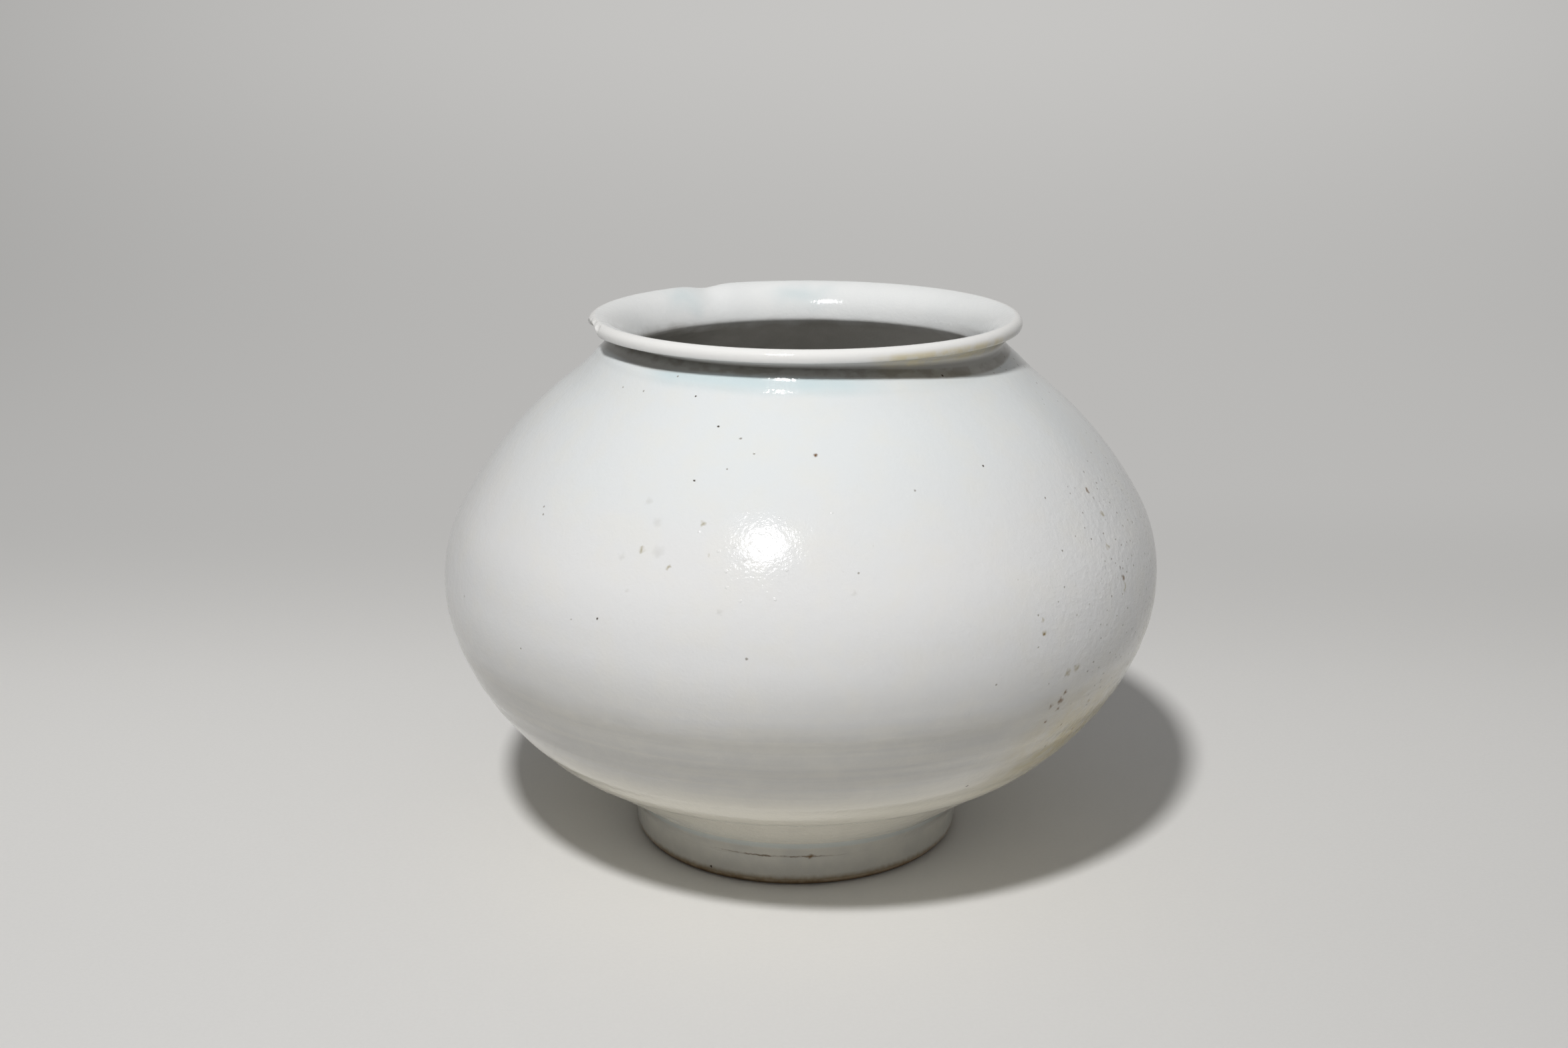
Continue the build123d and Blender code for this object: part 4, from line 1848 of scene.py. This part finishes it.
@dataclass(frozen=True)
class InsideFinish:
    """Glaze inside the jar: white on the flare of the lip, and painted shade below the throat, grey and paler
    at the right.

    Runs are bluish places near the top. The top of the painted shade drifts with a noise of a size, octaves
    and amount, and lies higher at the left.
    """

    name: str
    white: Quad = (0.87, 0.885, 0.89, 1.0)
    # Painted shade deep inside the jar, darker at the left and paler at the right.
    painted_inside_shade: Quad = (0.46, 0.45, 0.425, 1.0)
    painted_inside_shade_right: Quad = (0.62, 0.61, 0.59, 1.0)
    run_stray: Pair = (9.0, 4.0)
    run_places: tuple[Pair, ...] = ((-31.0, 36.0), (2.0, 45.0))
    run_drop: float = 3.5
    run_radii: Triple = (12.0, 10.0, 5.0)
    run_soft: float = 0.9
    run_share: float = 0.6
    clouds: Cloud = Cloud(12.0, 3.0, 0.35, 0.70, 0.0, 0.25)
    shade_drift: Triple = (8.0, 3.0, 4.0)
    shade_left: Quad = (-18.0, -46.0, 0.0, -2.6)
    shade_over_throat: Pair = (1.2, -2.4)
    right_span: Pair = (0.0, 42.0)
    shade_clouds: Cloud = Cloud(5.0, 3.0, 0.35, 0.7, 0.0, 0.3)
    pinholes: Pinholes = Pinholes()
    surface: GlazeSurface = GlazeSurface()

    def build(self, form: Form) -> bpy.types.Material:
        """Make the material.

        Args:
            form: The jar's sizes.

        Returns:
            The material.
        """
        recipe = Recipe(self.name)
        loose = recipe.strayed(*self.run_stray)
        top = form.jar_height - self.run_drop
        blots = (Blot((*place, top), self.run_radii, self.run_soft) for place in self.run_places)
        runs = recipe.most(recipe.blot(loose, blot) for blot in blots)
        colour = recipe.mix(recipe.math("MULTIPLY", runs, self.run_share), self.white, BLUISH_POOL)
        colour = recipe.mix(recipe.cloud(self.clouds), colour, COOL_WHITE)
        # Painted shade: below the throat the inside is drawn grey, where the jar's inside lies in shade.
        throat = form.jar_height - form.throat_drop
        level = recipe.math("ADD", recipe.height, recipe.sway(*self.shade_drift))
        level = recipe.math("ADD", level, recipe.grade(recipe.axis("X"), *self.shade_left))
        below = recipe.grade(level, *(throat + rise for rise in self.shade_over_throat))
        deep = recipe.mix(recipe.grade(recipe.axis("X"), *self.right_span), self.painted_inside_shade, self.painted_inside_shade_right)
        deep = recipe.mix(recipe.cloud(self.shade_clouds), deep, self.painted_inside_shade_right)
        recipe.give("Base Color", recipe.mix(below, colour, deep))
        pits = self.pinholes.share(recipe)
        self.surface.lay(recipe, pits, pits)
        return recipe.material


@dataclass(frozen=True)
class ClayFinish:
    """Fired clay without glaze: sugary where it is broken, smooth or burnt where it was wiped.

    Patches of its two colours and of its dullness are a number of grains wide.
    """

    name: str
    pale: Quad
    dark: Quad
    grain: float
    depth: float
    roughness: float
    burnt_edge: float = 0.0
    burnt_below: float = 0.2
    burnt: Quad = (0.20, 0.125, 0.06, 1.0)
    patch_grains: float = 6.0
    dull_grains: float = 3.0
    dull_range: float = 0.1

    def build(self) -> bpy.types.Material:
        """Make the material.

        Returns:
            The material.
        """
        recipe = Recipe(self.name)
        patches = Cloud(self.grain * self.patch_grains, octaves=4.0, low=0.38, high=0.66, roughness=0.65)
        colour = recipe.mix(recipe.cloud(patches), self.pale, self.dark)
        if self.burnt_edge > 0.0:
            burnt = recipe.grade(recipe.height, self.burnt_edge, self.burnt_below)
            colour = recipe.mix(burnt, colour, self.burnt)
        recipe.give("Base Color", colour)
        recipe.relief((recipe.noise(self.grain, octaves=4.0, roughness=0.7), self.depth))
        smooth, rough = self.roughness - self.dull_range, self.roughness + self.dull_range
        dull = Cloud(self.grain * self.dull_grains, octaves=2.0, low=0.3, high=0.7, least=smooth, most=rough)
        recipe.give("Roughness", recipe.cloud(dull))
        return recipe.material


@dataclass(frozen=True)
class Lamp:
    """A round lamp that shines at the jar from a direction. Its sizes are in metres."""

    name: str
    toward: Triple
    distance: float
    width: float
    power: float
    colour: Triple

    def build(self, aim: Triple) -> None:
        """Make the lamp.

        Args:
            aim: Place that it shines at, in metres.
        """
        data = bpy.data.lights.new(self.name, "AREA")
        data.shape = "DISK"
        data.size = self.width
        data.energy = self.power
        data.color = self.colour
        lamp = bpy.data.objects.new(self.name, data)
        back = np.array(self.toward) / np.linalg.norm(self.toward)
        side = np.cross([0.0, 0.0, 1.0], back)
        side /= np.linalg.norm(side)
        matrix = np.eye(4)
        matrix[:3, :3] = np.column_stack([side, np.cross(back, side), back])
        matrix[:3, 3] = np.array(aim) + self.distance * back
        lamp.matrix_world = matrix.T.tolist()
        bpy.context.scene.collection.objects.link(lamp)


@dataclass(frozen=True)
class Studio:
    """A pale paper sweep, one lamp, and a dim world that is brighter above and on the right.

    The sweep's own sizes are in metres. Its colours change over spans in millimetres. Levels of the sky are
    two shares of a direction and the strengths there.
    """

    half_width: float = 2.6
    front: float = -1.6
    bend_start: float = 0.55
    bend_radius: float = 0.7
    wall_height: float = 0.15
    flat_rows: int = 40
    bend_rows: int = 33
    columns: int = 9
    paper_near: Quad = (0.71, 0.706, 0.70, 1.0)
    paper_far: Quad = (0.90, 0.895, 0.885, 1.0)
    paper_span: Pair = (-160.0, 110.0)
    paper_roughness: float = 0.85
    fibre: Cloud = Cloud(0.9, 3.0, 0.3, 0.7, 0.0, 0.05, roughness=0.7)
    unlit: Quad = (0.10, 0.10, 0.10, 1.0)
    pool: Blot = Blot((20.0, 5.0, 0.0), (505.0, 430.0, 500.0), 0.35)
    far_floor: Quad = (0.490, 0.484, 0.473, 1.0)
    far_top: Quad = (0.566, 0.559, 0.546, 1.0)
    far_rise: Pair = (0.0, 190.0)
    far_span: Pair = (90.0, 330.0)
    far_middle: float = 120.0
    far_width: float = 1480.0
    far_painted_falloff: float = 0.30
    far_dark: Quad = (0.0, 0.0, 0.0, 1.0)
    near_jar: Blot = Blot((0.0, 0.0, 0.0), (1500.0, 1500.0, 1500.0), 0.5)
    sky_colour: Quad = (1.0, 0.99, 0.97, 1.0)
    sky_above: Triple = (0.0, 0.0, 1.0)
    sky_aside: Triple = (0.80, -0.15, 0.58)
    sky_lit_above: Quad = (-0.1, 1.0, 0.035, 0.19)
    sky_lit_aside: Quad = (-0.1, 1.0, 0.0, 0.11)
    sky_seen: Quad = (-1.0, 1.0, 0.30, 0.56)
    lamp: Lamp = Lamp("key_lamp", (-0.165, -0.592, 0.788), 0.914, 0.085, 6.25, (1.0, 0.992, 0.975))
    lamp_aim: Triple = (0.0, 0.0, 0.07)

    def build(self) -> None:
        """Make the sweep, the lamp and the sky, and set how colours are shown."""
        self.sweep()
        self.lamp.build(self.lamp_aim)
        self.sky()
        bpy.context.scene.view_settings.view_transform = "Standard"

    def sky(self) -> None:
        """Dim white world, stronger above and towards the right.

        A paler tone of it shows only to the camera, in reflections and through clear materials.
        """
        world = bpy.data.worlds.new("even_sky")
        world.use_nodes = True
        steps = Steps(world.node_tree)
        toward = steps.nodes.new("ShaderNodeTexCoord").outputs["Generated"]
        above = steps.vector("DOT_PRODUCT", toward, self.sky_above).outputs["Value"]
        aside = steps.vector("DOT_PRODUCT", toward, self.sky_aside).outputs["Value"]
        lit_above = steps.grade(above, *self.sky_lit_above)
        lit = steps.math("ADD", lit_above, steps.grade(aside, *self.sky_lit_aside))
        shown = steps.grade(aside, *self.sky_seen)
        strength = steps.node("ShaderNodeMix", {0: steps.seen(), 2: lit, 3: shown}).outputs[0]
        background = steps.nodes["Background"]
        steps.feed(background.inputs["Color"], self.sky_colour)
        steps.feed(background.inputs["Strength"], strength)
        bpy.context.scene.world = world

    def sweep(self) -> None:
        """Paper that lies flat, bends up in a quarter circle and stands behind."""
        bend = np.radians(np.linspace(0.0, 90.0, self.bend_rows))
        flat = np.linspace((self.front, 0.0), (self.bend_start, 0.0), self.flat_rows)
        curve = np.column_stack([
            self.bend_start + self.bend_radius * np.sin(bend),
            self.bend_radius * (1.0 - np.cos(bend)),
        ])
        top = np.array([[self.bend_start + self.bend_radius, self.bend_radius + self.wall_height]])
        line = np.vstack([flat, curve[1:], top])
        across = np.linspace(-self.half_width, self.half_width, self.columns)
        shape = (len(line), len(across))
        places = np.stack([
            np.broadcast_to(across, shape),
            np.broadcast_to(line[:, 0, None], shape),
            np.broadcast_to(line[:, 1, None], shape),
        ], axis=-1)
        number = np.arange(places.shape[0] * places.shape[1]).reshape(shape)
        quads = np.stack([number[:-1, :-1], number[:-1, 1:], number[1:, 1:], number[1:, :-1]], axis=-1)
        mesh = bpy.data.meshes.new("paper_sweep")
        mesh.from_pydata(places.reshape(-1, 3).tolist(), [], quads.reshape(-1, 4).tolist())
        mesh.shade_smooth()
        paper = bpy.data.objects.new("paper_sweep", mesh)
        bpy.context.scene.collection.objects.link(paper)
        mesh.materials.append(self.paper())

    def paper(self) -> bpy.types.Material:
        """Matt paper, paler further back, that throws light only from near the jar.

        What the camera, reflections and clear materials see is the paper in its pale colours, paler further
        back as painted light against the lamp's falloff, and behind the jar a glow that is painted light,
        paler higher up and darker towards the sides. The light that it throws back on the jar comes only from
        the pool of light around the jar.

        Returns:
            The material.
        """
        recipe = Recipe("studio_paper")
        seen = recipe.seen()
        # Painted light: the paper is paler further back, against the lamp's falloff.
        colour = recipe.mix(recipe.grade(recipe.axis("Y"), *self.paper_span), self.paper_near, self.paper_far)
        colour = recipe.mix(recipe.cloud(self.fibre), colour, self.far_floor)
        pool = recipe.blot(recipe.place, self.pool)
        outside = recipe.both(recipe.math("SUBTRACT", 1.0, seen), recipe.math("SUBTRACT", 1.0, pool))
        recipe.give("Base Color", recipe.mix(outside, colour, self.unlit))
        recipe.give("Roughness", self.paper_roughness)
        # Painted light: the glow behind the jar is paler higher up and darker towards the sides.
        tone = recipe.mix(recipe.grade(recipe.height, *self.far_rise), self.far_floor, self.far_top)
        aside = recipe.math("SUBTRACT", recipe.axis("X"), self.far_middle)
        aside = recipe.math("DIVIDE", aside, self.far_width)
        loss = recipe.math("MINIMUM", recipe.both(aside, aside), self.far_painted_falloff)
        glow = recipe.node("ShaderNodeEmission", {"Color": recipe.mix(loss, tone, self.far_dark)})
        beyond = recipe.math("SUBTRACT", 1.0, recipe.blot(recipe.place, self.near_jar))
        behind = recipe.grade(recipe.axis("Y"), *self.far_span)
        share = recipe.both(recipe.math("MAXIMUM", behind, beyond), seen)
        shaders = {1: recipe.shader.outputs["BSDF"], 2: glow.outputs["Emission"]}
        blend = recipe.node("ShaderNodeMixShader", {0: share, **shaders})
        recipe.feed(recipe.output.inputs["Surface"], blend.outputs["Shader"])
        return recipe.material


@dataclass(frozen=True)
class MoonJar:
    """The jar: its glaze, its clay and the slip between, each dressed and put in its node's place."""

    form: Form
    warp: Warp
    sight: Sight
    glaze_around: Around = Around(500, closeness=3.5)
    glaze: GlazeFinish = GlazeFinish("white_glaze")
    inside_glaze: InsideFinish = InsideFinish("inside_glaze")
    broken_clay: ClayFinish = ClayFinish(
        "broken_porcelain", (0.83, 0.82, 0.79, 1.0), (0.72, 0.69, 0.63, 1.0),
        grain=0.5, depth=0.12, roughness=0.55,
    )
    bare_clay: ClayFinish = ClayFinish(
        "bare_foot_clay", (0.55, 0.44, 0.30, 1.0), (0.34, 0.24, 0.14, 1.0),
        grain=0.8, depth=0.06, roughness=0.75, burnt_edge=1.5,
    )
    joining_slip: ClayFinish = ClayFinish(
        "joining_slip", (0.62, 0.53, 0.40, 1.0), (0.45, 0.34, 0.22, 1.0),
        grain=0.6, depth=0.06, roughness=0.7,
    )

    @staticmethod
    def keep(piece: Piece, finish: bpy.types.Material, node: str, slot: str) -> None:
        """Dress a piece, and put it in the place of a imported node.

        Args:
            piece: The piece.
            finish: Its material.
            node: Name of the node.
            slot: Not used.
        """
        piece.data.materials.append(finish)
        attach(piece, "root")
        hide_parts(node)
        LOG.info("%s: %d faces for %s", piece.name, len(piece.data.polygons), node)

    def marks(self, piece: Piece) -> dict[MarkKind, list[Blot]]:
        """Find the marks' places on the glaze.

        Args:
            piece: The outer coat of glaze.

        Returns:
            The marks, by kind.
        """
        bpy.context.view_layer.update()
        placed: dict[MarkKind, list[Blot]] = {kind: [] for kind in MARKS}
        for kind, marks in MARKS.items():
            for mark in marks:
                place = self.sight.on_surface(mark.column, mark.row, piece)
                if place is None:
                    LOG.warning("no glaze at pixel %d, %d", mark.column, mark.row)
                    continue
                radii = (mark.radius, mark.radius, mark.radius * mark.tallness)
                placed[kind].append(Blot(place, radii, kind.soft))
        return placed

    def build(self) -> None:
        """Make every piece of the jar."""
        skin = GlazeSkin(self.form, self.warp, self.glaze_around)
        clay = Clay(self.form, self.warp)
        outside = skin.coat("outer_glaze_coat", skin.crest, len(skin.profile) - 1)
        glaze = self.glaze.build(self.form, self.marks(outside))
        inside = self.inside_glaze.build(self.form)
        body = self.broken_clay.build()
        bare = self.bare_clay.build()
        joint = self.joining_slip.build()
        self.keep(outside, glaze, "outer_glaze", "outer_glaze")
        self.keep(skin.coat("inner_glaze_coat", 0, skin.crest), inside, "inner_glaze", "inner_glaze")
        self.keep(clay.foot_well(), inside, "foot_well_glaze", "inner_glaze")
        self.keep(clay.lower_bowl(), body, "lower_bowl", "porcelain_body")
        self.keep(clay.upper_bowl(), body, "upper_bowl", "porcelain_body")
        self.keep(clay.mouth_rim(), body, "mouth_rim", "porcelain_body")
        self.keep(clay.foot_ring(), bare, "foot_ring", "foot_porcelain")
        self.keep(clay.belly_slip(), joint, "belly_seam_slip", "joining_slip")
        self.keep(clay.neck_slip(), joint, "neck_seam_slip", "joining_slip")
        self.keep(clay.foot_slip(), joint, "foot_seam_slip", "joining_slip")


def main() -> None:
    """Build the jar, the camera and the studio."""
    logging.basicConfig(level=logging.INFO, format="%(name)s: %(message)s")
    form = Form.from_frame()
    sight = Sight()
    sight.build()
    Studio().build()
    MoonJar(form, Warp(form), sight).build()


if __name__ == "__main__":
    main()
